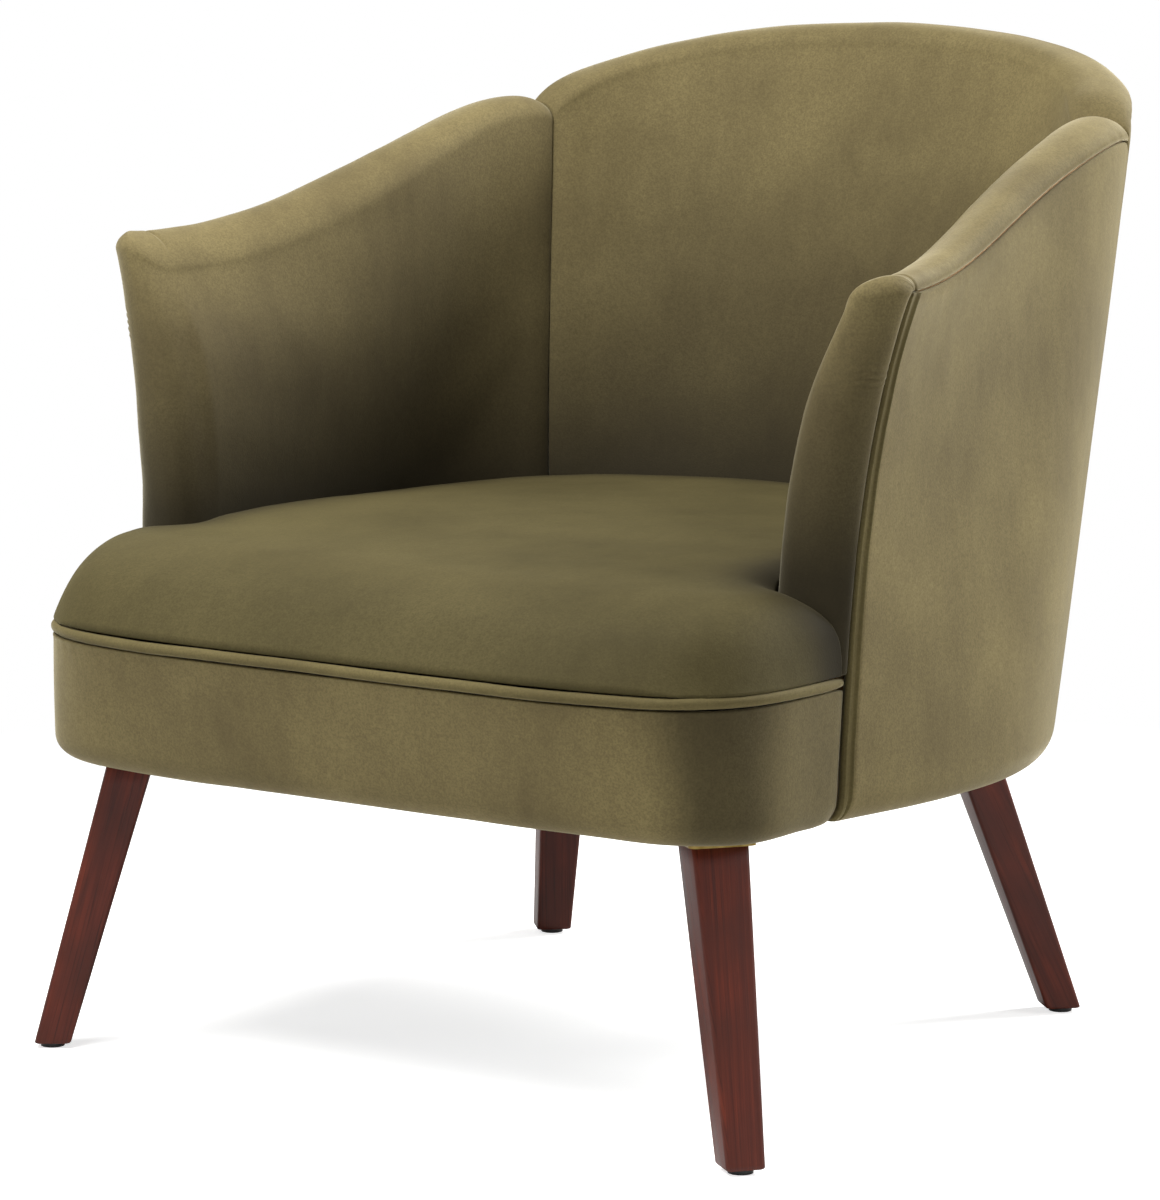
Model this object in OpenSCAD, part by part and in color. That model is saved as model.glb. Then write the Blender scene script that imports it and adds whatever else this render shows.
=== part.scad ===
// Upholstered tub chair: a flared, raked shell round a tight crowned seat, on four splayed tapered legs.
// The chair faces -Y, +Z is up, the floor is z = 0, and all sizes are in millimetres.

/* [Overall] */
// Front of the seat cord to the back of the top
overall_depth = 806; // [780:2:830]
// Top of the back above the floor
back_height = 800; // [770:5:830]
// Crest of the arm at its front
arm_height = 648; // [620:4:675]
// Crest where the arm meets the back
notch_height = 734; // [715:3:750]
// Underside of the upholstery above the floor
base_height = 235; // [215:5:255]
// Top of the crowned seat
seat_height = 430; // [415:3:445]

/* [Shell plan] */
// Height of the lower reference outline
low_level = 300; // [280:5:320]
// Height of the upper reference outline
high_level = 745; // [725:5:765]
// Half width at the arm front, lower outline
low_front_x = 338; // [329:3:350]
// Arm front ahead of the origin, lower outline
low_front_reach = 214; // [205:3:226]
// Half width at the side, lower outline
low_side_x = 352; // [340:3:364]
// Widest point of the side ahead of the origin, lower outline
low_side_reach = 21; // [5:4:45]
// How far the back leans out from the lower outline to its rim
back_rake = 100; // [91:3:112]
// Half width at the arm tips, where the arm fronts flare out
tip_x = 372; // [362:1:380]
// Arm front ahead of the origin, upper outline
high_front_reach = 177; // [168:3:189]
// Half width at the side, upper outline
high_side_x = 320; // [308:3:335]
// Tangent point of the side behind the origin, upper outline
high_side_reach = 145; // [125:5:165]

/* [Padding] */
// Thickness of the rim at its crest
rim_t = 52; // [48:1:58]
// Swell of the arm crest on its way up to the back
crest_swell = 6; // [0:1:9]
// Height of the rounded crest above its outer seam
crest_rise = 20; // [16:1:26]
// Wall thickness at the seat, arms
arm_wall_t = 66; // [60:2:74]
// Wall thickness at the seat, back
back_wall_t = 88; // [78:2:98]
// How far the padded arm front stands ahead of its cord
arm_nose = 25; // [20:1:30]
// Depth of the dip along the inside seams
seam_dip = 9; // [5:1:12]
// Width of that dip on each side
seam_dip_w = 34; // [24:2:44]
// Fullness of the padding between seat and crest
pad_crown = 6; // [0:1:10]

/* [Seat] */
// Height of the cord between seat and front band
cord_level = 343; // [335:2:351]
// Diameter of the covered cord
cord_d = 9; // [7:0.5:11]
// Depth of the rounded front edge of the seat
seat_roll = 92; // [70:4:110]
// Height of the seat where it meets the arms and back
seat_side_h = 409; // [400:3:415]
// How far the front band leans in towards its foot
band_lean = 22; // [12:2:30]
// Rounding of the band's lower edge
band_round = 20; // [14:1:24]
// Rounding of the shell's lower edge
shell_round = 24; // [18:1:24]

/* [Frame] */
// Thickness of the outside panels with their cover
panel_t = 5; // [4:0.5:6]
// Thickness of the wooden rails and posts
rail_t = 20; // [20:0.5:22]
// Height of the bent rail under the crest
rim_rail_h = 42; // [34:2:50]
// Height of the seat rails' tops
rail_top = 321; // [315:2:325]

/* [Seat springs] */
// Number of zigzag springs
spring_count = 5; // [3:1:6]
// Turns in each spring
spring_turns = 13; // [9:1:15]
// Wire of the springs
spring_wire = 4; // [3:0.5:5]
// Width of each spring
spring_w = 54; // [40:2:60]

/* [Legs] */
// Half spacing of the front feet
front_foot_x = 331; // [315:3:345]
// Front feet behind the front of the seat
front_foot_inset = 59; // [50:3:74]
// Half spacing of the back feet
back_foot_x = 259; // [245:3:275]
// Back feet ahead of the foot of the back
back_foot_inset = 63; // [51:3:75]
// Half spacing of the front leg tops
front_top_x = 278; // [270:2:285]
// Front leg tops behind the front of the seat
front_top_inset = 99; // [93:2:107]
// Half spacing of the back leg tops
back_top_x = 200; // [190:2:210]
// Back leg tops ahead of the foot of the back
back_top_inset = 124; // [116:2:132]
// Broad side of a leg at its top
leg_top_w = 44; // [40:1:48]
// Narrow side of a leg at its top
leg_top_d = 37; // [34:1:42]
// Broad side of a leg at its foot
leg_foot_w = 30; // [24:1:32]
// Narrow side of a leg at its foot
leg_foot_d = 29; // [23:1:31]
// Chamfer on the long edges of a leg
leg_chamfer = 2.5; // [1.5:0.5:4]
// Diameter of the glide under each foot
glide_d = 19; // [16:1:22]
// Height of the glide
glide_h = 4; // [3:0.5:6]

/* [Hidden] */

// Overrun of every cut
over = 1;
// Gap between pieces that lie against each other
seat_gap = 0.3;
// Share of the half plan at which the side ends and the back's bend begins
side_share = 0.4;
// Place along the half plan of the seam between arm and back, at the two reference outlines
low_notch_share = 0.706;
high_notch_share = 0.558;
// Handle lengths of the plan curve, as shares of the span that they bend
low_full_share = 0.59;
high_full_share = 0.685;
// Lead and swell of the arm crest
crest_lead_share = 1.15;
swell_place_share = 3;
flare_shares = [0.55, 0.35, 0.35];
// Step used to find the direction of a plan curve
plan_step_share = 0.002;
// Squareness of the rounded front corners at the underside and at the cord
low_corner_share = 6;
high_corner_share = 4.6;
// How sharply the arm fronts flare out towards their tips
flare_power_share = 3;
flare_limit_share = 1.08;
// Where across the wall the ridge of the arm front lies
ridge_share = 0.62;
// Split between neighbouring pieces, as a share of the half plan
split_share = 0.0006;

// Lip of the inside cover at the outer seam
lip_t = panel_t + seat_gap;
// Frame layer, measured inwards from the outside of the shell
frame_near = panel_t + 3 * seat_gap;
frame_far = frame_near + rail_t;
pad_near = frame_far + 3 * seat_gap;
// Padding over the bent rim rail
crest_pad = 11;
// Hidden wall of the padded arm front
nose_pad = 12;

// Strip that covers the seam down the arm front
strip_w = 10;
strip_proud = 2.4;
strip_half = strip_w / 2 + seat_gap;
strip_foot = 4;

// Seat, band and cord
cord_set = 2.5;
pad_foot = cord_level + cord_d / 2 + seat_gap;
edge_lip = 2;
corner_step = 2;
under_inset = 18;
cord_sides = 8;
// Depth of the rounding along the pad's front corners, and of the tuck along the walls
side_roll = 48;
tuck_w = 26;
tuck_drop = 20;
deck_t = 2;
deck_top = rail_top + 2 * spring_wire + 3 * seat_gap;
// Place along the half plan where the flat plates' back outline takes over from the front's
plate_start_share = 0.05;

// Seat rails: where side and back rails meet, and their foot above the turned-under cover
rail_break_share = 0.62;
rail_foot = base_height + panel_t + seat_gap;
cover_t = 1;
block_h = 52;
block_t = 62;
front_block_shares = [0.66, 0.84];
back_block_shares = [0.58, 0.76];

// Posts and tack rails
post_share = 0.085;
back_post_share = 0.034;
tack_h = 34;
// The slanted back post leans away from the tack rails by this share over their height
tack_gap_share = 0.013;
tack_lap = 8;
tack_foot = seat_side_h - tack_lap;
strap_w_share = 0.026;
strap_t = 2.4;
strap_place_shares = [0.77, 0.86, 0.95, 1.05, 1.14, 1.23];

// Seat springs and their clips
spring_step_count = 5;
spring_end_inset = 12;
spring_span_share = 0.53;
clip_w = 12;
clip_l = 6;
clip_t = 1;
clip_play = 1.6;

// Leg plates, bolts, nuts, screws and glides
plate_t = 3;
plate_w = 52;
plate_round = 6;
plate_foot = base_height - plate_t - seat_gap;
leg_top = plate_foot - seat_gap;
bolt_d = 8;
bolt_up = 32;
bolt_down = 36;
nut_d = 11;
nut_h = 14;
nut_flange_d = 22;
nut_flange_t = 1.6;
bore_gap = 0.3;
screw_d = 4;
screw_l = 24;
screw_head_d = 8;
screw_head_h = 2;
screw_place_share = 0.33;
foot_chamfer = 1.5;
glide_pin_d = 3;
glide_pin_l = 14;

velvet = [0.42, 0.38, 0.25];
velvet_light = [0.47, 0.43, 0.30];
velvet_dark = [0.30, 0.27, 0.17];
stain = [0.20, 0.09, 0.06];
beech = [0.80, 0.66, 0.46];
brass = [0.72, 0.60, 0.36];
steel = [0.62, 0.63, 0.65];
black = [0.09, 0.09, 0.10];

function mix(a, b, t) = a + (b - a) * t;
function clamp01(t) = max(0, min(1, t));
function ease(t) = let (c = clamp01(t)) c * c * (3 - 2 * c);
function bezier(a, b, c, d, t) =
  a * pow(1 - t, 3) + 3 * b * pow(1 - t, 2) * t + 3 * c * (1 - t) * t * t + d * t * t * t;
function steps(n) = [for (i = [0:n]) i / n];

// Outline of the shell at height z: u runs from the arm front (0) round to the middle of the back (1)
function level(z) = (z - low_level) / (high_level - low_level);
function flare(z) = let (t = (z - low_level) / (arm_height - crest_rise - low_level))
  pow(max(0, min(flare_limit_share, t)), flare_power_share);
function front_at(z) = [mix(low_front_x, tip_x, flare(z)),
  -mix(low_front_reach, high_front_reach, level(z))];
function side_at(z) = [mix(low_side_x, high_side_x, level(z)),
  mix(-low_side_reach, high_side_reach, level(z))];
low_back_reach = overall_depth / 2 - back_rake;
function back_at(z) = mix(low_back_reach, overall_depth / 2,
  (z - low_level) / (back_height - crest_rise - low_level));
function plan(u, z) = let (f = front_at(z), s = side_at(z), b = back_at(z),
    k = mix(low_full_share, high_full_share, level(z)))
  u < side_share
    ? bezier(f, f + [(s.x - f.x) * flare_shares[0], (s.y - f.y) * flare_shares[1]],
        s - [0, (s.y - f.y) * flare_shares[2]], s, u / side_share)
    : bezier(s, s + [0, (b - s.y) * k], [s.x * k, b], [0, b], (u - side_share) / (1 - side_share));
function inward(u, z) = let (v = max(u, plan_step_share),
    t = plan(v + plan_step_share, z) - plan(v - plan_step_share, z)) [-t.y, t.x] / norm(t);
// Point at depth d inside the shell's outer face; u above 1 is the left half
function wall(u, d, z) = let (m = u > 1 ? -1 : 1, v = u > 1 ? 2 - u : u, o = plan(v, z), n = inward(v, z))
  [m * (o.x + n.x * d), o.y + n.y * d, z];

// Place of the seam between arm and back at height z, and at the crest
function notch(z) = mix(low_notch_share, high_notch_share, level(z));
crest_notch = notch(notch_height - crest_rise);

// Height of the crest along the rim
function arm_crest(u) = let (f = plan(0, high_level).y, e = plan(crest_notch, high_level).y,
    y = plan(u, high_level).y, t = clamp01((y - f) / (e - f)))
  mix(arm_height, notch_height, ease(pow(t, crest_lead_share)))
    + crest_swell * sin(180 * pow(t, swell_place_share));
function back_crest(u) = let (v = u > 1 ? 2 - u : u,
    r = plan(v, high_level).x / plan(crest_notch, high_level).x)
  notch_height + (back_height - notch_height) * sqrt(max(0, 1 - r * r));
function crest(u) = let (v = u > 1 ? 2 - u : u) v < crest_notch ? arm_crest(v) : back_crest(v);

// Depth of the inside face below the outside face
function seat_wall(u) = let (v = u > 1 ? 2 - u : u)
  mix(arm_wall_t, back_wall_t, ease((v - side_share) / (1 - side_share)));
function rise(top, z) = clamp01((z - seat_side_h) / (top - seat_side_h));
function depth(u, top, z) = mix(seat_wall(u), rim_t, rise(top, z));
// Dip of the padding beside a seam, from its distance along the wall
function dip(w) = let (c = clamp01(w / seam_dip_w)) seam_dip * (1 - sqrt(1 - (1 - c) * (1 - c)));
function seam_distance(u, z) = let (v = u > 1 ? 2 - u : u) norm(plan(v, z) - plan(notch(z), z));
// Fullness of the padding between seat and crest
function fullness(k) = pad_crown * sin(180 * clamp01(k));

// Solid between two grids of points, closed round its edges
module shell(a, b) {
  m = len(a);
  n = len(a[0]);
  off = m * n;
  points = concat([for (r = a, p = r) p], [for (r = b, p = r) p]);
  skin = [for (j = [0:m - 2], i = [0:n - 2]) let (p = j * n + i)
    each [[p, p + 1, p + n + 1], [p, p + n + 1, p + n]]];
  back = [for (f = skin) [f[2] + off, f[1] + off, f[0] + off]];
  ends = [for (i = [0:n - 2]) let (q = (m - 1) * n + i)
    each [[i, i + off, i + 1], [i + 1, i + off, i + 1 + off],
      [q, q + 1, q + off], [q + 1, q + 1 + off, q + off]]];
  sides = [for (j = [0:m - 2]) let (p = j * n, q = j * n + n - 1)
    each [[p, p + n, p + off], [p + n, p + n + off, p + off],
      [q, q + off, q + n], [q + n, q + off, q + n + off]]];
  polyhedron(points, concat(skin, back, ends, sides), convexity = 8);
}

// Solid through closed rings of points
module rings(list) {
  m = len(list);
  n = len(list[0]);
  points = [for (r = list, p = r) p];
  skin = [for (j = [0:m - 2], i = [0:n - 1]) let (p = j * n + i, q = j * n + (i + 1) % n)
    each [[p, q + n, q], [p, p + n, q + n]]];
  caps = [for (i = [1:n - 2]) each [[0, i, i + 1], [(m - 1) * n, (m - 1) * n + i + 1, (m - 1) * n + i]]];
  polyhedron(points, concat(skin, caps), convexity = 8);
}

module left() { mirror([1, 0, 0]) children(); }

// Arm front: point at depth d and distance e ahead of the shell's front edge
function tangent(z) = let (n = inward(0, z)) [n.y, -n.x];
function nose(d, e, z) = let (w = wall(0, d, z), t = tangent(z)) [w.x - t.x * e, w.y - t.y * e, z];
// Place along the half plan where the outside arm panel begins, behind the strip
function start_u(z) = let (f = front_at(z), s = side_at(z))
  strip_half * side_share / (3 * norm([(s.x - f.x) * flare_shares[0], (s.y - f.y) * flare_shares[1]]));

// Front outline of seat and band: v runs from the left strip (0) to the right strip (1), d is the inset
function up_band(z) = clamp01((z - base_height) / (cord_level - base_height));
function front_reach(z) = overall_depth / 2 - band_lean * (1 - up_band(z));
function corner(z) = mix(low_corner_share, high_corner_share, up_band(z));
function power(c, z) = pow(abs(c), 2 / corner(z));
function front(v, d, z) = let (f = front_at(z), a = 180 * (1 - v), y = f.y - strip_half,
    b = front_reach(z) + y - d)
  [sign(cos(a)) * (f.x - d) * power(cos(a), z), y - b * power(max(0, sin(a)), z), z];
function front_normal(v, z) =
  let (t = front(min(1, v + plan_step_share), 0, z) - front(max(0, v - plan_step_share), 0, z))
  [t.y, -t.x, 0] / norm(t);

// Outside face of a cover as depth and height, from its turned-under hem up to the given top
hem_steps = 4;
wall_steps = 6;
function cover_line(t, r, top) = concat([[frame_far - seat_gap, base_height + t]],
  [for (k = steps(hem_steps)) [r - (r - t) * sin(90 * k), base_height + r - (r - t) * cos(90 * k)]],
  [for (k = [1:wall_steps]) [t, mix(base_height + r, top, k / wall_steps)]]);

// Section of a seat rail as depth and height, from its bevelled foot up to its top
function rail_line(r) = [[r - seat_gap, rail_foot], [frame_near, base_height + r], [frame_near, rail_top]];
module wall_rail(u0, u1, count) {
  us = [for (t = steps(count)) mix(u0, u1, t)];
  line = rail_line(shell_round);
  shell([for (u = us) [for (p = line) wall(u, p.x, p.y)]],
    [for (u = us) [for (p = line) wall(u, frame_far, p.y)]]);
}

module front_rail() {
  line = rail_line(band_round);
  vs = steps(28);
  color(beech)
    shell([for (v = vs) [for (p = line) front(v, p.x + cord_set, p.y)]],
      [for (v = vs) [for (p = line) front(v, frame_far + cord_set, p.y)]]);
}
module side_rail() { color(beech) wall_rail(start_u(base_height), rail_break_share - split_share, 12); }
module back_rail() {
  first = rail_break_share + split_share;
  color(beech) wall_rail(first, 2 - first, 16);
}

// Legs: top centre and foot centre of each
function leg_line(x, inset) = [x, inset - overall_depth / 2];
leg_front = [leg_line(front_top_x, front_top_inset), leg_line(front_foot_x, front_foot_inset)];
leg_back = [[back_top_x, low_back_reach - back_top_inset], [back_foot_x, low_back_reach - back_foot_inset]];
legs = [leg_front, leg_back, [for (p = leg_front) [-p.x, p.y]], [for (p = leg_back) [-p.x, p.y]]];
function leg_turn(leg) = let (d = leg[1] - leg[0]) atan2(d.y, d.x);
module along(leg) {
  translate([leg[0].x, leg[0].y, leg_top]) children();
}
module bolt_hole(leg) {
  along(leg) translate([0, 0, -bolt_down - over])
    cylinder(h = bolt_down + bolt_up + 2 * over, d = bolt_d + bore_gap, $fn = 24);
}
module nut_hole(leg) {
  along(leg) translate([0, 0, bolt_up - nut_h])
    cylinder(h = nut_h + block_h, d = nut_flange_d + bore_gap, $fn = 24);
}
module at_screws(leg) {
  p = screw_place_share * plate_w;
  translate([leg[0].x, leg[0].y, plate_foot]) rotate(leg_turn(leg))
    for (x = [-p, p], y = [-p, p]) translate([x, y, 0]) children();
}
module screw_holes(leg) {
  at_screws(leg) translate([0, 0, -over]) cylinder(h = screw_l + 2 * over, d = screw_d + bore_gap, $fn = 16);
}

// Blocks in the corners of the base, which take the leg plates
block_steps = 6;
function block_line(k, shares, d) = [for (t = steps(block_steps)) let (u = mix(shares[0], shares[1], t))
  k == 0 ? front(u, d + cord_set, base_height) : wall(u, d, base_height)];
function back_again(list) = [for (i = [len(list) - 1:-1:0]) list[i]];
function block_outline(k) = let (shares = k == 0 ? front_block_shares : back_block_shares)
  concat(block_line(k, shares, pad_near), back_again(block_line(k, shares, pad_near + block_t)));
block_foot = base_height + cover_t + 2 * seat_gap;
module corner_block(k) {
  leg = legs[k];
  difference() {
    translate([0, 0, block_foot]) linear_extrude(block_h) polygon([for (p = block_outline(k)) [p.x, p.y]]);
    bolt_hole(leg);
    nut_hole(leg);
    screw_holes(leg);
  }
}
module corner_blocks() {
  color(beech) for (k = [0, 1]) {
    corner_block(k);
    left() corner_block(k);
  }
}

// Foot of the bent rail under the crest, and the posts that carry it
function rim_top(u) = crest(u) - crest_rise - 3 * seat_gap;
function rim_foot(u) = rim_top(u) - rim_rail_h;
post_steps = 4;
module arm_post() {
  us = [for (t = steps(post_steps)) mix(split_share, post_share, t)];
  function at(u, d) = [for (t = steps(post_steps))
    wall(u, d, mix(rail_top + seat_gap, rim_foot(u) - seat_gap, t))];
  color(beech) shell([for (u = us) at(u, frame_near)], [for (u = us) at(u, frame_far)]);
}
post_notch = notch(notch_height - crest_rise - rim_rail_h);
function post_top(o) = min([for (e = [-1:1]) rim_foot(post_notch + o + e * back_post_share / 2)]) - seat_gap;
module back_post() {
  offsets = [for (t = steps(post_steps)) back_post_share * (2 * t - 1)];
  function at(o, d) = [for (t = steps(post_steps))
    let (z = mix(rail_top + seat_gap, post_top(o), t)) wall(notch(z) + o, d, z)];
  color(beech) shell([for (o = offsets) at(o, frame_near)], [for (o = offsets) at(o, frame_far)]);
}
module rim_rail(us) {
  color(beech) shell([for (u = us) [for (z = [rim_foot(u), rim_top(u)]) wall(u, frame_near, z)]],
    [for (u = us) [for (z = [rim_foot(u), rim_top(u)]) wall(u, frame_far, z)]]);
}
rim_steps = 24;
module arm_rail() { rim_rail([for (t = steps(14)) mix(split_share, crest_notch - split_share, t)]); }
module top_back_rail() {
  ts = [for (t = steps(rim_steps)) (1 - cos(180 * t)) / 2];
  rim_rail([for (t = ts) mix(crest_notch + split_share, 2 - crest_notch - split_share, t)]);
}

module tack_rail(u0, u1, count) {
  us = [for (t = steps(count)) mix(u0, u1, t)];
  zs = [tack_foot, tack_foot + tack_h];
  color(beech) shell([for (u = us) [for (z = zs) wall(u, frame_near, z)]],
    [for (u = us) [for (z = zs) wall(u, frame_far, z)]]);
}
tack_notch = notch(tack_foot);
module tack_rail_side() {
  tack_rail(post_share + split_share, tack_notch - back_post_share - tack_gap_share, 12);
}
module tack_rail_back() {
  first = tack_notch + back_post_share + split_share;
  tack_rail(first, 2 - first, 20);
}

// Elastic straps between the back's tack rail and its top rail, which carry the padding
strap_steps = 2;
function strap_line(u, d) = [for (t = steps(post_steps))
  wall(u, d, mix(tack_foot + tack_h + seat_gap, rim_foot(u) - 2 * seat_gap, t))];
module back_webbing() {
  color(black) for (c = strap_place_shares) {
    us = [for (t = steps(strap_steps)) c + strap_w_share * (2 * t - 1)];
    shell([for (u = us) strap_line(u, frame_far - strap_t)], [for (u = us) strap_line(u, frame_far)]);
  }
}

// Zigzag springs from the front rail to the back rail, each held in a clip at either end
spring_base = rail_top + clip_t + seat_gap;
spring_half = (spring_w - spring_wire) / 2;
spring_xs = [for (k = [0:spring_count - 1])
  spring_count > 1 ? spring_span_share * low_side_x * (2 * k / (spring_count - 1) - 1) : 0];
function front_y(x) = let (f = front_at(rail_top), y = f.y - strip_half, d = frame_near + spring_end_inset,
    c = abs(x) / (f.x - d), k = corner(rail_top), b = front_reach(rail_top) + y - d)
  y - b * pow(1 - pow(c, k), 1 / k);
back_line = [for (t = steps(24))
  let (w = wall(mix(1, side_share, t), frame_near + spring_end_inset, rail_top)) [w.x, w.y]];
function spring_start(x) = [x + spring_half, front_y(x + spring_half)];
function spring_end(x) = let (e = x + spring_half * cos(180 * spring_turns)) [e, lookup(abs(e), back_line)];
module spring(x) {
  a = spring_start(x);
  pitch = (spring_end(x).y - a.y) / spring_turns;
  last = spring_turns * spring_step_count;
  path = [for (k = [0:last]) let (t = 180 * k / spring_step_count)
    [x + spring_half * cos(t), a.y + pitch * t / 180 + pitch * sin(2 * t) / (2 * PI)]];
  sides = [for (k = [0:last]) let (t = path[min(last, k + 1)] - path[max(0, k - 1)])
    [-t.y, t.x] / norm(t) * spring_wire / 2];
  translate([0, 0, spring_base]) linear_extrude(spring_wire)
    polygon(concat([for (k = [0:last]) path[k] + sides[k]], [for (k = [last:-1:0]) path[k] - sides[k]]));
}
module seat_springs() {
  color(steel) for (x = spring_xs) spring(x);
}
module clip(place, side) {
  slot = spring_wire + 2 * seat_gap;
  h = slot + 2 * clip_t;
  translate([place.x, place.y + side * (clip_l / 2 - clip_t), rail_top + h / 2]) difference() {
    cube([clip_w, clip_l, h], center = true);
    cube([spring_wire + 2 * clip_play, clip_l + 2 * over, slot], center = true);
  }
}
module spring_clips() {
  color(steel) for (x = spring_xs) {
    clip(spring_start(x), 1);
    clip(spring_end(x), -1);
  }
}

// Cloth deck over the springs
function front_path(d, z) = [for (t = steps(36)) front(t, d, z)];
function back_path(d, z) = [for (t = steps(36))
  wall(mix(plate_start_share, 2 - plate_start_share, t), d, z)];
module ring_plate(d, z, t) {
  path = concat(front_path(d + cord_set, z), back_path(d, z));
  translate([0, 0, z]) linear_extrude(t) polygon([for (p = path) [p.x, p.y]]);
}
module seat_decking() { color(black) ring_plate(pad_near, deck_top - deck_t, deck_t); }

// Seat pad: a crowned top that rolls down to the cord in front and tucks in along the arms and back
column_shares = [0, 0.2, 0.4, 0.58, 0.72, 0.83, 0.91, 0.96, 0.985, 1];
front_row_shares = [1, 0.985, 0.94, 0.86, 0.73, 0.57, 0.36, 0];
inner_row_shares = [0.02, 0.08, 0.2, 0.36, 0.54, 0.72, 0.86, 0.95, 1];
inner_end_share = 0.74;
bend_share = 0.8;
crown_fall_share = 0.25;
columns = concat([for (k = [len(column_shares) - 1:-1:1]) -column_shares[k]], column_shares);
pad_a = front_at(cord_level).x - cord_set;
pad_y = front_at(cord_level).y - strip_half;
pad_b = overall_depth / 2 + pad_y - cord_set;
pad_start_angle = asin(pow((arm_nose + seat_gap) / pad_b, high_corner_share / 2));
function outline(a) = [pad_a * power(cos(a), cord_level), pad_y - pad_b * power(sin(a), cord_level)];
function spread(c, e, q, f, t) =
  [sign(c) * mix(abs(c) * e.x, f.x * e.x / q.x, t), e.y + t * t * (f.y - q.y)];
function front_place(t, c) = let (f = outline(90 - 45 * pow(abs(c), bend_share)))
  spread(c, outline(mix(pad_start_angle, 45, t)), outline(45), f, t);
function inner(u) = wall(u, seat_wall(u) + 5 * seat_gap, seat_side_h);
function inner_place(t, c) = let (f = inner(mix(1, inner_end_share, abs(c))))
  spread(c, inner(mix(0, inner_end_share, t)), inner(inner_end_share), f, t);
function roll(t) = let (c = 1 - clamp01(t)) sqrt(1 - c * c);
function crown(p) = let (x = p.x / pad_a, y = p.y / pad_b) seat_side_h + (seat_height - seat_side_h)
  * max(0, 1 - x * x) * max(0, 1 - crown_fall_share * y * y);
function square_off(c) = pow(1 - pow(clamp01(c), high_corner_share), 1 / high_corner_share);
function front_depth(p) = p.y - pad_y + pad_b * square_off(abs(p.x) / pad_a);
function side_depth(p) = pad_a * square_off((pad_y - p.y) / pad_b) - abs(p.x);
function front_top(p) = mix(pad_foot + edge_lip, crown(p),
  roll(front_depth(p) / seat_roll) * roll(side_depth(p) / side_roll));
function front_under(p) = min(front_depth(p), side_depth(p)) < under_inset ? pad_foot : deck_top + seat_gap;
function inner_edge(t, c) = let (e = inner_place(t, 1)) min((1 - abs(c)) * e.x,
  (1 - t) * (inner(1).y - inner(0).y));
function inner_top(t, c) = crown(inner_place(t, c)) - tuck_drop * (1 - roll(inner_edge(t, c) / tuck_w));
module seat_pad() {
  fronts = [for (t = front_row_shares) [for (c = columns) front_place(t, c)]];
  inners = [for (t = inner_row_shares) [for (c = columns) inner_place(t, c)]];
  corner_x = inner(0).x;
  corner_y = outline(pad_start_angle).y + corner_step;
  corner_row = [for (c = columns) [c * corner_x, corner_y]];
  top = concat([for (r = concat(fronts, [corner_row])) [for (p = r) [p.x, p.y, front_top(p)]]],
    [for (t = inner_row_shares) [for (c = columns) let (p = inner_place(t, c))
      [p.x, p.y, inner_top(t, c)]]]);
  under = concat([for (r = fronts) [for (p = r) [p.x, p.y, front_under(p)]]],
    [for (r = concat([corner_row], inners)) [for (p = r) [p.x, p.y, deck_top + seat_gap]]]);
  color(velvet_light) shell(under, top);
}

// Covered cord between seat and band
module seat_cord() {
  r = cord_d / 2;
  angles = [for (k = [0:cord_sides - 1]) 360 * k / cord_sides];
  color(velvet_dark) rings([for (v = steps(44))
    let (c = front(v, r, cord_level), n = front_normal(v, cord_level))
      [for (a = angles) c + r * (cos(a) * n - [0, 0, sin(a)])]]);
}
module front_band() {
  top = cord_level - cord_d / 2 - seat_gap;
  outside = cover_line(0, band_round, top);
  hidden = cover_line(panel_t, band_round, top);
  vs = steps(34);
  color(velvet) shell([for (v = vs) [for (p = outside) front(v, p.x + cord_set, p.y)]],
    [for (v = vs) [for (p = hidden) front(v, p.x + cord_set, p.y)]]);
}

// Inside covers: visible and hidden faces share one layout, from the foot over the crest to the outer seam
face_steps = 8;
arch_steps = 6;
function side_face(u, top, z) = let (h = max(z, seat_side_h),
    w = wall(u, depth(u, top, z) + fullness(rise(top, z)) - dip(seam_distance(u, h)), h)) [w.x, w.y, z];
function over_crest(a, b, h) = [for (k = [1:arch_steps]) let (t = 180 * k / arch_steps)
  mix(a, b, (1 - cos(t)) / 2) + [0, 0, h * sin(t)]];
function face_heights(top) = [for (t = steps(face_steps)) mix(pad_foot, top, t)];
// Place along the plan of station t of the arm (back = 0) or the back (back = 1), at height z
function station(back, t, z) = back == 0 ? t * (notch(z) - split_share)
  : mix(notch(z) + split_share, 2 - notch(z) - split_share, t);
function station_top(back, t) = crest(station(back, t, notch_height - crest_rise)) - crest_rise;
function side_visible(back, t) = let (top = station_top(back, t), u = station(back, t, top),
    d = dip(seam_distance(u, top)))
  concat([for (z = face_heights(top)) side_face(station(back, t, max(z, seat_side_h)), top, z)],
    over_crest(side_face(u, top, top), wall(u, 0, top), crest_rise - d));
function side_hidden(back, t) = let (top = station_top(back, t), u = station(back, t, top))
  concat([for (z = face_heights(top)) wall(station(back, t, z), pad_near, z)],
    over_crest(wall(u, pad_near, top), wall(u, lip_t, top), crest_rise - crest_pad));

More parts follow.
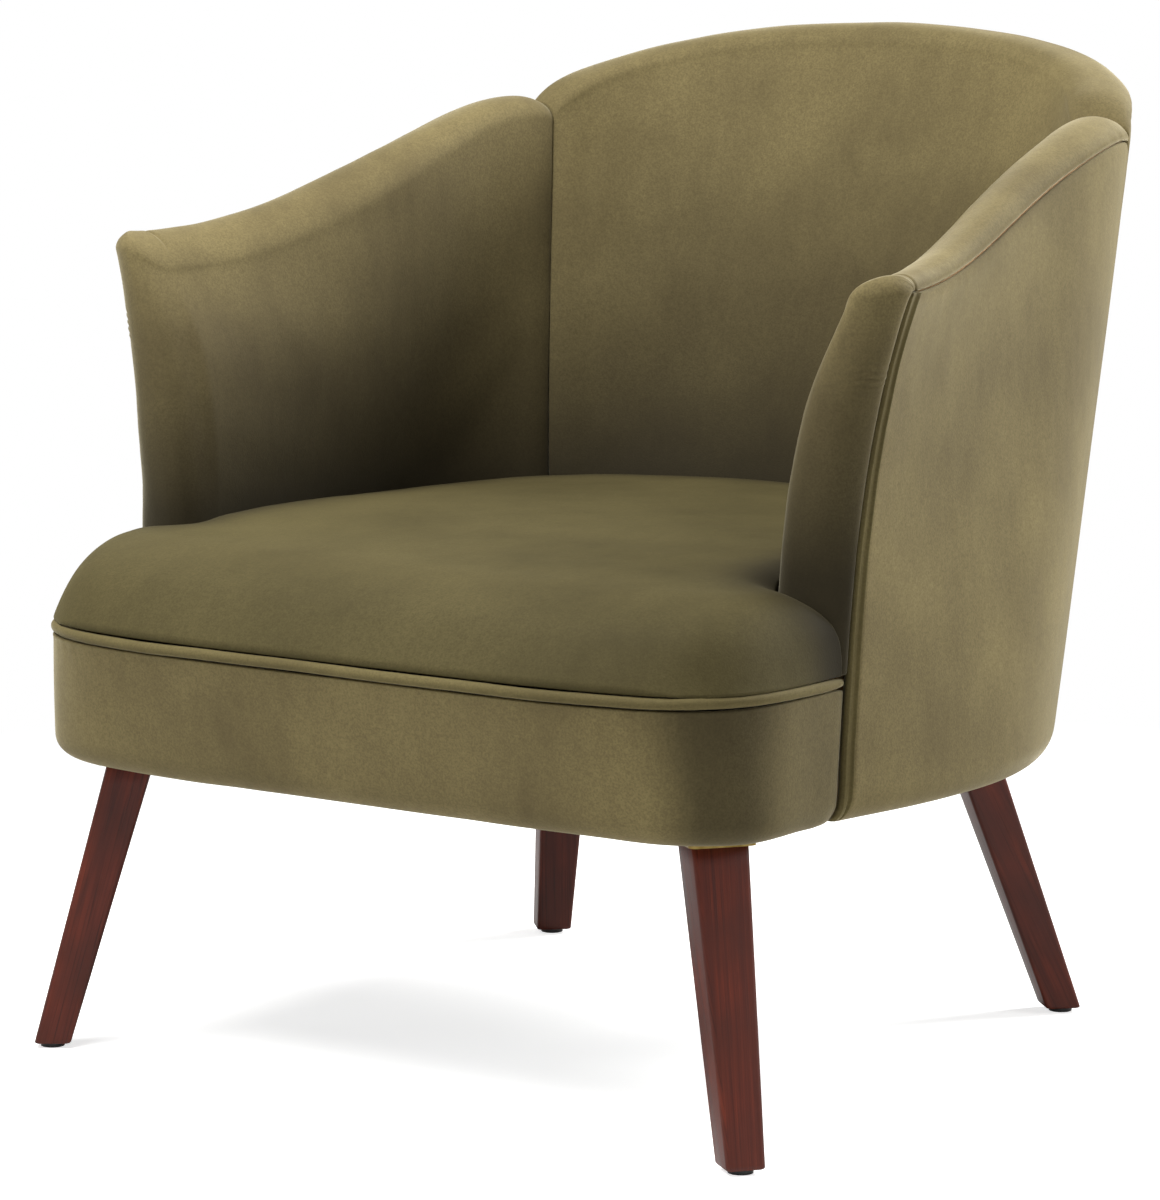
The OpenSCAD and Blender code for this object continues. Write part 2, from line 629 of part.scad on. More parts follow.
// Stations round the arm front: outer quarter from the strip to the ridge, inner one back to the wall
outer_quarter_shares = [0, 0.22, 0.45, 0.7, 1];
inner_quarter_shares = [0.35, 0.7];
nose_turn_share = 0.6;
function nose_at(part, t, near, ridge, far, reach, z) = part == 0
  ? nose(near + (ridge - near) * (1 - cos(90 * t)), strip_half + reach * sin(90 * t), z)
  : nose(ridge + (far - ridge) * sin(90 * t), (strip_half + reach) * cos(90 * t), z);
function nose_end(w, d, z) = nose(d, strip_half * nose_turn_share * (1 - w / 2), z);
function nose_over(face, end, h) = concat(face,
  over_crest(face[face_steps], end, h * clamp01(norm(face[face_steps] - end) / rim_t)));
function nose_visible(part, t) = let (top = crest(0) - crest_rise, w = part == 0 ? t / 2 : (1 + t) / 2,
    face = [for (z = face_heights(top)) let (d = depth(0, top, z))
      nose_at(part, t, 0, ridge_share * d, d, arm_nose, z)])
  nose_over(face, nose_end(w, 0, top), crest_rise);
function nose_hidden(part, t) = let (top = crest(0) - crest_rise, w = part == 0 ? t / 2 : (1 + t) / 2,
    mid = (lip_t + pad_near) / 2,
    face = [for (z = face_heights(top)) nose_at(part, t, lip_t, mid, pad_near, arm_nose - nose_pad, z)])
  nose_over(face, nose_end(w, lip_t, top), crest_rise - crest_pad);
arm_station_shares = [0, 0.1, 0.22, 0.35, 0.48, 0.61, 0.74, 0.85, 0.91, 0.955, 0.985, 1];
module inside_arm() {
  color(velvet) shell(
    concat([for (t = outer_quarter_shares) nose_hidden(0, t)],
      [for (t = inner_quarter_shares) nose_hidden(1, t)],
      [for (t = arm_station_shares) side_hidden(0, t)]),
    concat([for (t = outer_quarter_shares) nose_visible(0, t)],
      [for (t = inner_quarter_shares) nose_visible(1, t)],
      [for (t = arm_station_shares) side_visible(0, t)]));
}
module inside_back() {
  half_shares = [0, 0.006, 0.02, 0.045, 0.08, 0.13, 0.2, 0.29, 0.39, 0.5];
  ts = concat(half_shares, [for (k = [len(half_shares) - 2:-1:0]) 1 - half_shares[k]]);
  color(velvet) shell([for (t = ts) side_hidden(1, t)], [for (t = ts) side_visible(1, t)]);
}

// Outside panels
module outside_back() {
  ts = [for (t = steps(22)) (1 - cos(180 * t)) / 2];
  function at(t, skin) = [for (p = cover_line(skin, shell_round, station_top(1, t) - 3 * seat_gap))
    wall(station(1, t, p.y), p.x, p.y)];
  color(velvet) shell([for (t = ts) at(t, 0)], [for (t = ts) at(t, panel_t)]);
}
module outside_arm() {
  ts = steps(14);
  function at(t, skin) = [for (p = cover_line(skin, shell_round, station_top(0, t) - 2 * seat_gap))
    wall(mix(start_u(p.y), notch(p.y) - split_share, t), p.x, p.y)];
  color(velvet) shell([for (t = ts) at(t, 0)], [for (t = ts) at(t, panel_t)]);
}

// Padded strip over the seam down the arm front
function edge_inset(h, r) = h >= r ? 0 : r - sqrt(max(0, r * r - (r - h) * (r - h)));
function strip_inset(z, e) = edge_inset(z - base_height, e > 0 ? band_round : shell_round);
strip_shares = [1, 0.5, 0, -0.5, -1];
module arm_strip() {
  zs = [for (t = steps(12)) mix(base_height + strip_foot, crest(0) - crest_rise, t)];
  es = strip_shares;
  color(velvet_dark) shell(
    [for (e = es) [for (z = zs) nose(strip_inset(z, e) - strip_proud * (1 - e * e), e * strip_w / 2, z)]],
    [for (e = es) [for (z = zs) nose(strip_inset(z, e) + panel_t, e * strip_w / 2, z)]]);
}

// Dust cover under the base
module dust_cover() {
  color(black) difference() {
    ring_plate(pad_near, base_height + seat_gap, cover_t);
    for (leg = legs) {
      bolt_hole(leg);
      screw_holes(leg);
    }
  }
}

// Tapered legs, turned to the line of their splay
function chamfered(x, y, k) = [[x, -y + k], [x, y - k], [x - k, y], [-x + k, y],
  [-x, y - k], [-x, -y + k], [-x + k, -y], [x - k, -y]];
function leg_ring(c, w, d, turn, z) = let (s = sin(turn), o = cos(turn))
  [for (p = chamfered(d / 2, w / 2, leg_chamfer)) [c.x + p.x * o - p.y * s, c.y + p.x * s + p.y * o, z]];
function leg_spot(leg, z) = mix(leg[1], leg[0], z / leg_top);
module leg(k) {
  l = legs[k];
  turn = leg_turn(l);
  edge = 2 * foot_chamfer;
  h = glide_h + foot_chamfer;
  color(stain) difference() {
    rings([leg_ring(leg_spot(l, glide_h), leg_foot_w - edge, leg_foot_d - edge, turn, glide_h),
      leg_ring(leg_spot(l, h), leg_foot_w, leg_foot_d, turn, h),
      leg_ring(l[0], leg_top_w, leg_top_d, turn, leg_top)]);
    bolt_hole(l);
    glide_place(l) cylinder(h = glide_h + glide_pin_l + bore_gap, d = glide_pin_d + bore_gap, $fn = 24);
  }
}
module glide_place(l) {
  c = leg_spot(l, glide_h / 2);
  translate([c.x, c.y, 0]) children();
}
module foot_glides() {
  color(black) for (l = legs) glide_place(l) {
    cylinder(h = glide_h, d = glide_d, $fn = 40);
    cylinder(h = glide_h + glide_pin_l, d = glide_pin_d, $fn = 24);
  }
}

// Plates, screws, bolts and nuts that hold the legs
module screw_head(gap) {
  cylinder(h = screw_head_h + gap, d1 = screw_head_d + 2 * gap, d2 = screw_d, $fn = 16);
}
module leg_plates() {
  w = plate_w / 2 - plate_round;
  color(brass) for (l = legs) difference() {
    translate([l[0].x, l[0].y, plate_foot]) rotate(leg_turn(l)) linear_extrude(plate_t) union() {
      square([2 * w, plate_w], center = true);
      square([plate_w, 2 * w], center = true);
      for (x = [-w, w], y = [-w, w]) translate([x, y]) circle(r = plate_round, $fn = 32);
    }
    bolt_hole(l);
    screw_holes(l);
    at_screws(l) translate([0, 0, -bore_gap]) screw_head(bore_gap);
  }
}
module plate_screws() {
  color(brass) for (l = legs) at_screws(l) {
    cylinder(h = screw_l, d = screw_d, $fn = 16);
    screw_head(0);
  }
}
module hanger_bolts() {
  color(steel) for (l = legs) along(l) translate([0, 0, -bolt_down])
    cylinder(h = bolt_down + bolt_up, d = bolt_d, $fn = 24);
}
module tee_nuts() {
  color(steel) for (l = legs) along(l) translate([0, 0, bolt_up - nut_h]) difference() {
    union() {
      cylinder(h = nut_h, d = nut_d, $fn = 28);
      cylinder(h = nut_flange_t, d = nut_flange_d, $fn = 32);
    }
    translate([0, 0, -over]) cylinder(h = nut_h + 2 * over, d = bolt_d + bore_gap, $fn = 28);
  }
}

front_rail();
left() side_rail();  // side_rail_left
side_rail();  // side_rail_right
back_rail();
corner_blocks();
left() arm_post();  // arm_post_left
arm_post();  // arm_post_right
left() back_post();  // back_post_left
back_post();  // back_post_right
left() arm_rail();  // arm_rail_left
arm_rail();  // arm_rail_right
top_back_rail();
left() tack_rail_side();  // tack_rail_left
tack_rail_side();  // tack_rail_right
tack_rail_back();
back_webbing();
seat_springs();
spring_clips();
seat_decking();
seat_pad();
seat_cord();
front_band();
inside_back();
left() inside_arm();  // inside_arm_left
inside_arm();  // inside_arm_right
outside_back();
left() outside_arm();  // outside_arm_left
outside_arm();  // outside_arm_right
left() arm_strip();  // arm_strip_left
arm_strip();  // arm_strip_right
dust_cover();
leg(2);  // leg_front_left
leg(0);  // leg_front_right
leg(3);  // leg_back_left
leg(1);  // leg_back_right
leg_plates();
plate_screws();
hanger_bolts();
tee_nuts();
foot_glides();
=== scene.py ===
import math
import bmesh
import bpy
import numpy as np
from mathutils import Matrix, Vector, noise


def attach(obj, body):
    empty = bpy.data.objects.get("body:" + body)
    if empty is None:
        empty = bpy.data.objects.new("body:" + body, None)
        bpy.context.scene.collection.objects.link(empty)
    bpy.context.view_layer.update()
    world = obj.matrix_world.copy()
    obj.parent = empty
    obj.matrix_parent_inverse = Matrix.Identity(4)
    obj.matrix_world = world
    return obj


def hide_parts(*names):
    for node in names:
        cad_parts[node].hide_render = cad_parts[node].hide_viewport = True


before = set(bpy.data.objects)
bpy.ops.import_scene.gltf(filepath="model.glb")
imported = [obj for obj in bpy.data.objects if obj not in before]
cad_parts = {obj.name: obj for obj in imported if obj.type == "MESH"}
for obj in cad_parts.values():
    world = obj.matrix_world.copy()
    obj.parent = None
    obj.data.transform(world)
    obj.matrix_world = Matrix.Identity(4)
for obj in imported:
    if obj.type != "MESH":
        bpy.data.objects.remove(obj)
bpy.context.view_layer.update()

MM = 0.001

# Sizes of the chair, under the names that the CAD source gives them
overall_depth = 806
back_height = 800
arm_height = 648
notch_height = 734
base_height = 235
seat_height = 430
gap = 0.3

# Shell plan: the lower and the upper reference outline, and the shares that bend them
low_level, high_level = 300, 745
low_front_x, low_front_reach = 338, 214
low_side_x, low_side_reach = 352, 21
back_rake = 100
low_back_reach = overall_depth / 2 - back_rake
tip_x, high_front_reach = 372, 177
high_side_x, high_side_reach = 320, 145
side_share = 0.4
low_notch_share, high_notch_share = 0.706, 0.558
low_full_share, high_full_share = 0.59, 0.685
flare_shares = (0.55, 0.35, 0.35)
flare_power, flare_limit = 3, 1.08
plan_step = 0.002
split = 0.0006

# Padding of the walls, and the crest over them
rim_t = 52
crest_rise = 20
crest_swell, crest_lead, swell_place = 6, 1.15, 3
arm_wall_t, back_wall_t = 66, 88
arm_nose, ridge_share, nose_turn_share = 25, 0.62, 0.6
seam_dip, seam_dip_w = 9, 34
pad_crown = 6

# Seat, cord and front band
cord_level, cord_d, cord_set = 343, 9, 2.5
seat_side_h = 409
seat_roll, side_roll = 92, 48
tuck_w, tuck_drop = 26, 20
edge_lip = 2
pad_foot = cord_level + cord_d / 2 + gap
band_lean, band_round, shell_round = 22, 20, 24
low_corner_share, high_corner_share = 6, 4.6

# Layers of a wall, from the outside of the shell inwards, and the deck under the seat
panel_t, rail_t = 5, 20
lip_t = panel_t + gap
frame_far = panel_t + 3 * gap + rail_t
pad_near = frame_far + 3 * gap
nose_pad, crest_pad = 12, 11
rail_top, spring_wire = 321, 4
deck_top = rail_top + 2 * spring_wire + 3 * gap

# Strips down the arm fronts
strip_w, strip_proud = 10, 2.4
strip_half = strip_w / 2 + gap
strip_foot = 4

# Legs: half spacings, insets from the front of the seat or the foot of the back, and widths
front_top_x, front_top_inset = 278, 99
front_foot_x, front_foot_inset = 331, 59
back_top_x, back_top_inset = 200, 124
back_foot_x, back_foot_inset = 259, 63
leg_top_w, leg_top_d = 44, 37
leg_foot_w, leg_foot_d = 30, 29
plate_t = 3
leg_top = base_height - plate_t - 2 * gap
glide_h = 4


def mix(a, b, t):
    return a + (b - a) * t


def clamp(t):
    """Keeps a share between 0 and 1."""
    return max(0.0, min(1.0, t))


def ease(t):
    """Share that starts and ends gently."""
    c = clamp(t)
    return c * c * (3 - 2 * c)


def steps(count):
    """Even shares from 0 to 1."""
    return [k / count for k in range(count + 1)]


def bezier(a, b, c, d, t):
    r = 1 - t
    return a * r ** 3 + 3 * b * r * r * t + 3 * c * r * t * t + d * t ** 3


# Plan of the shell at height z: u runs from the arm front (0) round to the middle of the back (1)
def level(z):
    """Place of a height between the two reference outlines."""
    return (z - low_level) / (high_level - low_level)


def front_at(z):
    """Front end of the half plan."""
    t = (z - low_level) / (arm_height - crest_rise - low_level)
    flared = max(0.0, min(flare_limit, t)) ** flare_power
    return mix(low_front_x, tip_x, flared), -mix(low_front_reach, high_front_reach, level(z))


def side_at(z):
    """Place on the half plan where the side ends and the back's bend begins."""
    return mix(low_side_x, high_side_x, level(z)), mix(-low_side_reach, high_side_reach, level(z))


def plan(u, z):
    """Point on the outside of the shell: one curve along the side and one round the back."""
    (fx, fy), (sx, sy) = front_at(z), side_at(z)
    back = mix(low_back_reach, overall_depth / 2, (z - low_level) / (back_height - crest_rise - low_level))
    if u < side_share:
        t = u / side_share
        return (
            bezier(fx, fx + (sx - fx) * flare_shares[0], sx, sx, t),
            bezier(fy, fy + (sy - fy) * flare_shares[1], sy - (sy - fy) * flare_shares[2], sy, t),
        )
    k = mix(low_full_share, high_full_share, level(z))
    t = (u - side_share) / (1 - side_share)
    return bezier(sx, sx, sx * k, 0, t), bezier(sy, sy + (back - sy) * k, back, back, t)


def inward(u, z):
    """Direction square to the plan, towards the inside."""
    v = max(u, plan_step)
    (ax, ay), (bx, by) = plan(v - plan_step, z), plan(v + plan_step, z)
    length = math.hypot(bx - ax, by - ay)
    return -(by - ay) / length, (bx - ax) / length


def wall(u, d, z):
    """Point at depth d inside the shell's outer face; u above 1 is the left half."""
    v = 2 - u if u > 1 else u
    (x, y), (nx, ny) = plan(v, z), inward(v, z)
    return (-1 if u > 1 else 1) * (x + nx * d), y + ny * d, z


def nose(d, e, z):
    """Point at depth d and distance e ahead of the shell's front edge."""
    (x, y, z), (nx, ny) = wall(0, d, z), inward(0, z)
    return x - ny * e, y + nx * e, z


def notch(z):
    """Place of the seam between arm and back."""
    return mix(low_notch_share, high_notch_share, level(z))


crest_notch = notch(notch_height - crest_rise)


def crest(u):
    """Height of the crest: the arm's slope up to the seam, then the back's arch."""
    v = 2 - u if u > 1 else u
    x, y = plan(v, high_level)
    ex, ey = plan(crest_notch, high_level)
    if v < crest_notch:
        fy = plan(0, high_level)[1]
        t = clamp((y - fy) / (ey - fy))
        swell = crest_swell * math.sin(math.pi * t ** swell_place)
        return mix(arm_height, notch_height, ease(t ** crest_lead)) + swell
    return notch_height + (back_height - notch_height) * math.sqrt(max(0, 1 - (x / ex) ** 2))


def seat_wall(u):
    """Thickness of the wall where it meets the seat."""
    v = 2 - u if u > 1 else u
    return mix(arm_wall_t, back_wall_t, ease((v - side_share) / (1 - side_share)))


def rise(top, z):
    """Share of the way from the seat up to the crest's foot."""
    return clamp((z - seat_side_h) / (top - seat_side_h))


def dip(distance):
    """How far the seam between arm and back pulls the padding in."""
    c = 1 - clamp(distance / seam_dip_w)
    return seam_dip * (1 - math.sqrt(1 - c * c))


def seam_distance(u, z):
    """Distance from the seam between arm and back."""
    v = 2 - u if u > 1 else u
    (ax, ay), (bx, by) = plan(v, z), plan(notch(z), z)
    return math.hypot(ax - bx, ay - by)


def side_face(u, top, z):
    """Point on the visible inside face under a crest whose foot is at the given top."""
    h = max(z, seat_side_h)
    k = rise(top, z)
    depth = mix(seat_wall(u), rim_t, k) + pad_crown * math.sin(math.pi * k)
    x, y, _ = wall(u, depth - dip(seam_distance(u, h)), h)
    return x, y, z


def over_crest(a, b, h):
    """Half round from one point over to another, with its middle the given height above them."""
    points = []
    for k in range(1, arch_rows + 1):
        t = math.pi * k / arch_rows
        s = (1 - math.cos(t)) / 2
        points.append((mix(a[0], b[0], s), mix(a[1], b[1], s), mix(a[2], b[2], s) + h * math.sin(t)))
    return points


# Shares of the way up the inside face that have a row of points: the arms have more where fine folds lie
wall_shares = steps(46)
fold_low_share, fold_row_step, fold_rows = 0.742, 0.0045, 21
arm_shares = sorted(wall_shares + [fold_low_share + fold_row_step * k for k in range(fold_rows)])
face_rows = len(arm_shares) - 1
arch_rows = 20


def face_heights(top, back=False):
    """Heights of the rows up an inside face whose crest stands on the given top."""
    return [mix(pad_foot, top, t) for t in (wall_shares if back else arm_shares)]


def station(back, t, z):
    """Place in plan of a share t of the way along the inside back or an inside arm."""
    edge = notch(z) + split if back else notch(z) - split
    return mix(edge, 2 - edge, t) if back else t * edge


def station_top(back, t):
    """Foot of the crest there."""
    return crest(station(back, t, notch_height - crest_rise)) - crest_rise


def side_visible(back, t):
    """Line up the inside face and over the crest to the outside."""
    top = station_top(back, t)
    u = station(back, t, top)
    face = [side_face(station(back, t, max(z, seat_side_h)), top, z) for z in face_heights(top, back)]
    return face + over_crest(side_face(u, top, top), wall(u, 0, top), crest_rise - dip(seam_distance(u, top)))


def side_hidden(back, t):
    """Line on the cover's hidden side, under the visible one."""
    top = station_top(back, t)
    u = station(back, t, top)
    face = [wall(station(back, t, z), pad_near, z) for z in face_heights(top, back)]
    return face + over_crest(wall(u, pad_near, top), wall(u, lip_t, top), crest_rise - crest_pad)


def nose_at(part, t, near, ridge, far, reach, z):
    """Point round the arm front: part 0 runs from the strip to the ridge, part 1 on to the inside face."""
    a = math.pi / 2 * t
    if part == 0:
        return nose(near + (ridge - near) * (1 - math.cos(a)), strip_half + reach * math.sin(a), z)
    return nose(ridge + (far - ridge) * math.sin(a), (strip_half + reach) * math.cos(a), z)


def nose_over(face, end, h):
    """Carries a line up the arm front on over the crest, lower where the crest is narrow."""
    return face + over_crest(face[-1], end, h * clamp(math.dist(face[-1], end) / rim_t))


def nose_end(part, t, d, z):
    """Point behind the strip's top where a line over the arm front ends."""
    return nose(d, strip_half * nose_turn_share * (1 - (part + t) / 4), z)


def nose_visible(part, t):
    """Line up the padded arm front and over its crest."""
    top = crest(0) - crest_rise
    face = []
    for z in face_heights(top):
        d = mix(seat_wall(0), rim_t, rise(top, z))
        face.append(nose_at(part, t, 0, ridge_share * d, d, arm_nose, z))
    return nose_over(face, nose_end(part, t, 0, top), crest_rise)


def nose_hidden(part, t):
    """Line on the hidden side of the arm front, under the visible one."""
    top = crest(0) - crest_rise
    mid = (lip_t + pad_near) / 2
    face = [nose_at(part, t, lip_t, mid, pad_near, arm_nose - nose_pad, z) for z in face_heights(top)]
    return nose_over(face, nose_end(part, t, lip_t, top), crest_rise - crest_pad)


# Front outline of seat and band: v runs from the left strip (0) to the right strip (1), d is the inset
def up_band(z):
    """Share of the way up the front band."""
    return clamp((z - base_height) / (cord_level - base_height))


def corner(z):
    """Squareness of the rounded front corners."""
    return mix(low_corner_share, high_corner_share, up_band(z))


def front(v, d, z):
    """Point on the rounded outline of the seat's front."""
    fx, fy = front_at(z)
    a = math.pi * (1 - v)
    y = fy - strip_half
    reach = overall_depth / 2 - band_lean * (1 - up_band(z)) + y - d
    c, s, k = math.cos(a), max(0.0, math.sin(a)), 2 / corner(z)
    return math.copysign((fx - d) * abs(c) ** k, c), y - reach * s ** k, z


def cover_line(t, r, top, rows):
    """Outside face of a cover as depth and height, from its turned-under hem up to the given top."""
    hem_rows = 8
    line = [(frame_far - gap, base_height + t)]
    for k in steps(hem_rows):
        a = math.pi / 2 * k
        line.append((r - (r - t) * math.sin(a), base_height + r - (r - t) * math.cos(a)))
    return line + [(t, mix(base_height + r, top, k)) for k in steps(rows)[1:]]


# Small unevenness that hand-pulled velvet has, in millimetres
def uneven(point, size, seed):
    """Noise between -1 and 1 with its swells the given size apart."""
    return noise.noise(Vector(point) / size + Vector((seed, 3.1 * seed, 7.7)))


def puckers(along, away, size, reach, seed):
    """Short tucks that run square to a seam: along it and away from it in millimetres."""
    length, bias = 6 * size, 0.15
    wave = noise.noise(Vector((along / size, seed, away / length))) + bias
    return wave * math.exp(-away / reach)


def sunk(distance, depth, width=5):
    """How far a seam pulls the cloth down beside it."""
    return depth * (1 - clamp(distance / width)) ** 2


def arc_lengths(grid, axis):
    """Distance along one axis of a grid, from its first row or column."""
    step = np.linalg.norm(np.diff(grid, axis=axis), axis=2)
    start = np.zeros_like(step[:1] if axis == 0 else step[:, :1])
    return np.concatenate([start, np.cumsum(step, axis=axis)], axis=axis)


def raise_grid(grid, rule, facing):
    """Moves each point of a grid along its normal by rule(i, j, point, along, across)."""
    du, dv = np.gradient(grid, axis=0), np.gradient(grid, axis=1)
    normal = np.cross(du, dv) * facing
    normal /= np.linalg.norm(normal, axis=2, keepdims=True) + 1e-9
    along, across = arc_lengths(grid, 0), arc_lengths(grid, 1)
    out = grid.copy()
    for i in range(grid.shape[0]):
        for j in range(grid.shape[1]):
            out[i, j] += normal[i, j] * rule(i, j, grid[i, j], along[i, j], across[i, j])
    return out


def cells_of(m, n, keep=lambda i, j: True):
    """Faces of an m by n grid of points, and the edges that only one of them has."""
    cells = [(i * n + j, i * n + j + 1, (i + 1) * n + j + 1, (i + 1) * n + j)
             for i in range(m - 1) for j in range(n - 1) if keep(i, j)]
    edges = {(cell[k], cell[(k + 1) % 4]) for cell in cells for k in range(4)}
    return cells, [(p, q) for p, q in sorted(edges) if (q, p) not in edges]


def new_object(name, data):
    made = bpy.data.objects.new(name, data)
    bpy.context.scene.collection.objects.link(made)
    return made


def settled(name, whole, fullness, most, keep=lambda i, j: True, rows=None, columns=None):
    """Lets a cover held along its border swell and pucker as cloth, by at most the given millimetres.

    The rows and columns are those to work out, and the ones between them follow."""
    last_frame, smoothings, still = 16, 8, 0.001
    rows, columns = rows or list(range(whole.shape[0])), columns or list(range(whole.shape[1]))
    grid = whole[rows][:, columns]
    m, n = grid.shape[:2]
    faces, rim = cells_of(m, n, keep)
    loose = set(range(m * n)) - {p for face in faces for p in face}
    faces = [face[::-1] for face in faces]
    mesh = bpy.data.meshes.new(name)
    mesh.from_pydata([tuple(p) for p in grid.reshape(-1, 3) * MM], [], faces)
    piece = new_object(name, mesh)
    held = piece.vertex_groups.new(name="held")
    held.add(sorted(loose | {p for edge in rim for p in edge}), 1.0, "REPLACE")
    cloth = piece.modifiers.new("settling", "CLOTH").settings
    cloth.vertex_group_mass = "held"
    cloth.quality = 6
    cloth.mass = 0.2
    cloth.tension_stiffness = cloth.compression_stiffness = 30
    cloth.bending_stiffness = 0.6
    cloth.shrink_min = -fullness
    cloth.use_pressure = True
    cloth.uniform_pressure_force = 4
    cloth.effector_weights.gravity = 0
    for step in range(1, last_frame + 1):
        bpy.context.scene.frame_set(step)
    result = piece.evaluated_get(bpy.context.evaluated_depsgraph_get()).to_mesh()
    moved = np.empty(len(result.vertices) * 3)
    result.vertices.foreach_get("co", moved)
    shift = moved.reshape(grid.shape) / MM - grid
    size = np.linalg.norm(shift, axis=2, keepdims=True)
    bpy.data.objects.remove(piece)
    bpy.context.scene.frame_set(1)
    shift *= np.minimum(1, most / (size + 1e-9))
    for _ in range(smoothings):
        around = sum(np.roll(shift, step, axis) for axis in (0, 1) for step in (1, -1))
        shift = (2 * shift + around) / 6 * (size > still)
    for axis, known in ((1, columns), (0, rows)):
        every = range(whole.shape[axis])
        shift = np.apply_along_axis(lambda line: np.interp(every, known, line), axis, shift)
    return whole + shift


def new_piece(name, vertices, faces, material, uvs=None, painted_shade=None):
    """Mesh object at the origin from points in millimetres.

    The last argument holds each point's share of painted shade, which the velvet turns into darker colour."""
    mesh = bpy.data.meshes.new(name)
    mesh.from_pydata([(x * MM, y * MM, z * MM) for x, y, z in vertices], [], faces)
    mesh.materials.append(material)
    if uvs is not None:
        layer = mesh.uv_layers.new(name="cover")
        flat = np.array(uvs, dtype=np.float32)[[loop.vertex_index for loop in mesh.loops]] * MM
        layer.data.foreach_set("uv", flat.ravel())
    if painted_shade is not None:
        mesh.attributes.new("painted_shade", "FLOAT", "POINT").data.foreach_set("value", list(painted_shade))
    piece = new_object(name, mesh)
    bm = bmesh.new()
    bm.from_mesh(mesh)
    bmesh.ops.recalc_face_normals(bm, faces=bm.faces)
    bm.to_mesh(mesh)
    bm.free()
    for polygon in mesh.polygons:
        polygon.use_smooth = True
    return piece


def shell_piece(name, outer, inner, material, mirrored=False, keep=lambda i, j: True, painted_shade=None):
    """Closed solid between two grids of the same layout, with a UV map in metres of cloth."""
    outer, inner = np.array(outer, float), np.array(inner, float)
    if mirrored:
        outer, inner = outer * (-1, 1, 1), inner * (-1, 1, 1)
    m, n = outer.shape[:2]
    points = np.concatenate([outer.reshape(-1, 3), inner.reshape(-1, 3)])
    uvs = np.concatenate([np.stack([arc_lengths(g, 0), arc_lengths(g, 1)], axis=2).reshape(-1, 2)
                          for g in (outer, inner)])
    off = m * n
    cells, rim = cells_of(m, n, keep)
    faces = cells + [tuple(p + off for p in reversed(cell)) for cell in cells]
    faces += [(q, p, p + off, q + off) for p, q in rim]
    used = sorted({p for face in faces for p in face})
    order = {p: k for k, p in enumerate(used)}
    faces = [tuple(order[p] for p in face) for face in faces]
    if painted_shade is not None:
        painted_shade = np.concatenate([painted_shade.ravel(), painted_shade.ravel()])[used]
    return new_piece(name, points[used], faces, material, uvs[used], painted_shade)


def subdivide(piece):
    modifier = piece.modifiers.new("smoothing", "SUBSURF")
    modifier.levels = modifier.render_levels = 1
    return piece


# Materials
def colour(code):
    """sRGB hex value as linear RGBA."""
    parts = [int(code[k:k + 2], 16) / 255 for k in (1, 3, 5)]
    return tuple(c / 12.92 if c <= 0.04045 else ((c + 0.055) / 1.055) ** 2.4 for c in parts) + (1.0,)


def add(tree, kind, inputs=None, **settings):
    """Adds a node with its settings, values and links."""
    made = tree.nodes.new(kind)
    for key, value in settings.items():
        setattr(made, key, value)
    for key, value in (inputs or {}).items():
        if isinstance(value, bpy.types.NodeSocket):
            tree.links.new(value, made.inputs[key])
        else:
            made.inputs[key].default_value = value
    return made


def blend(tree, fac, low, high):
    """Colour between two colours or colour sockets."""
    return add(tree, "ShaderNodeMix", {0: fac, 6: low, 7: high}, data_type="RGBA").outputs[2]


def fitted(tree, value, low, high):
    """Value spread from 0 at low to 1 at high."""
    return add(tree, "ShaderNodeMapRange", {0: value, 1: low, 2: high}).outputs[0]


def blank(name):
    """Material and its empty tree."""
    material = bpy.data.materials.new(name)
    material.use_nodes = True
    material.node_tree.nodes.clear()
    return material, material.node_tree


def surfaced(material, inputs):
    """Ends a material's tree in a surface with the given values and links."""
    surface = add(material.node_tree, "ShaderNodeBsdfPrincipled", inputs)
    add(material.node_tree, "ShaderNodeOutputMaterial", {0: surface.outputs[0]})
    return material


def place(tree, scale=(1, 1, 1), source="Object"):
    """Place on the piece, scaled along each axis."""
    spot = add(tree, "ShaderNodeTexCoord").outputs[source]
    return add(tree, "ShaderNodeMapping", {"Vector": spot, "Scale": scale}).outputs[0]


def grain(tree, vector, size, detail=3.0, roughness=0.5):
    """Noise with its features the given size apart, in millimetres."""
    return add(tree, "ShaderNodeTexNoise", {"Vector": vector, "Scale": 1 / (size * MM), "Detail": detail,
                                            "Roughness": roughness}).outputs[0]


def share_of(tree, value, share):
    return add(tree, "ShaderNodeMath", {0: value, 1: share}, operation="MULTIPLY").outputs[0]


def bump(tree, height, strength, distance, normal=None):
    """Bumps up to the given distance high, in millimetres."""
    below = {} if normal is None else {"Normal": normal}
    return add(tree, "ShaderNodeBump", {"Height": height, "Strength": strength, "Distance": distance * MM,
                                        **below}).outputs[0]


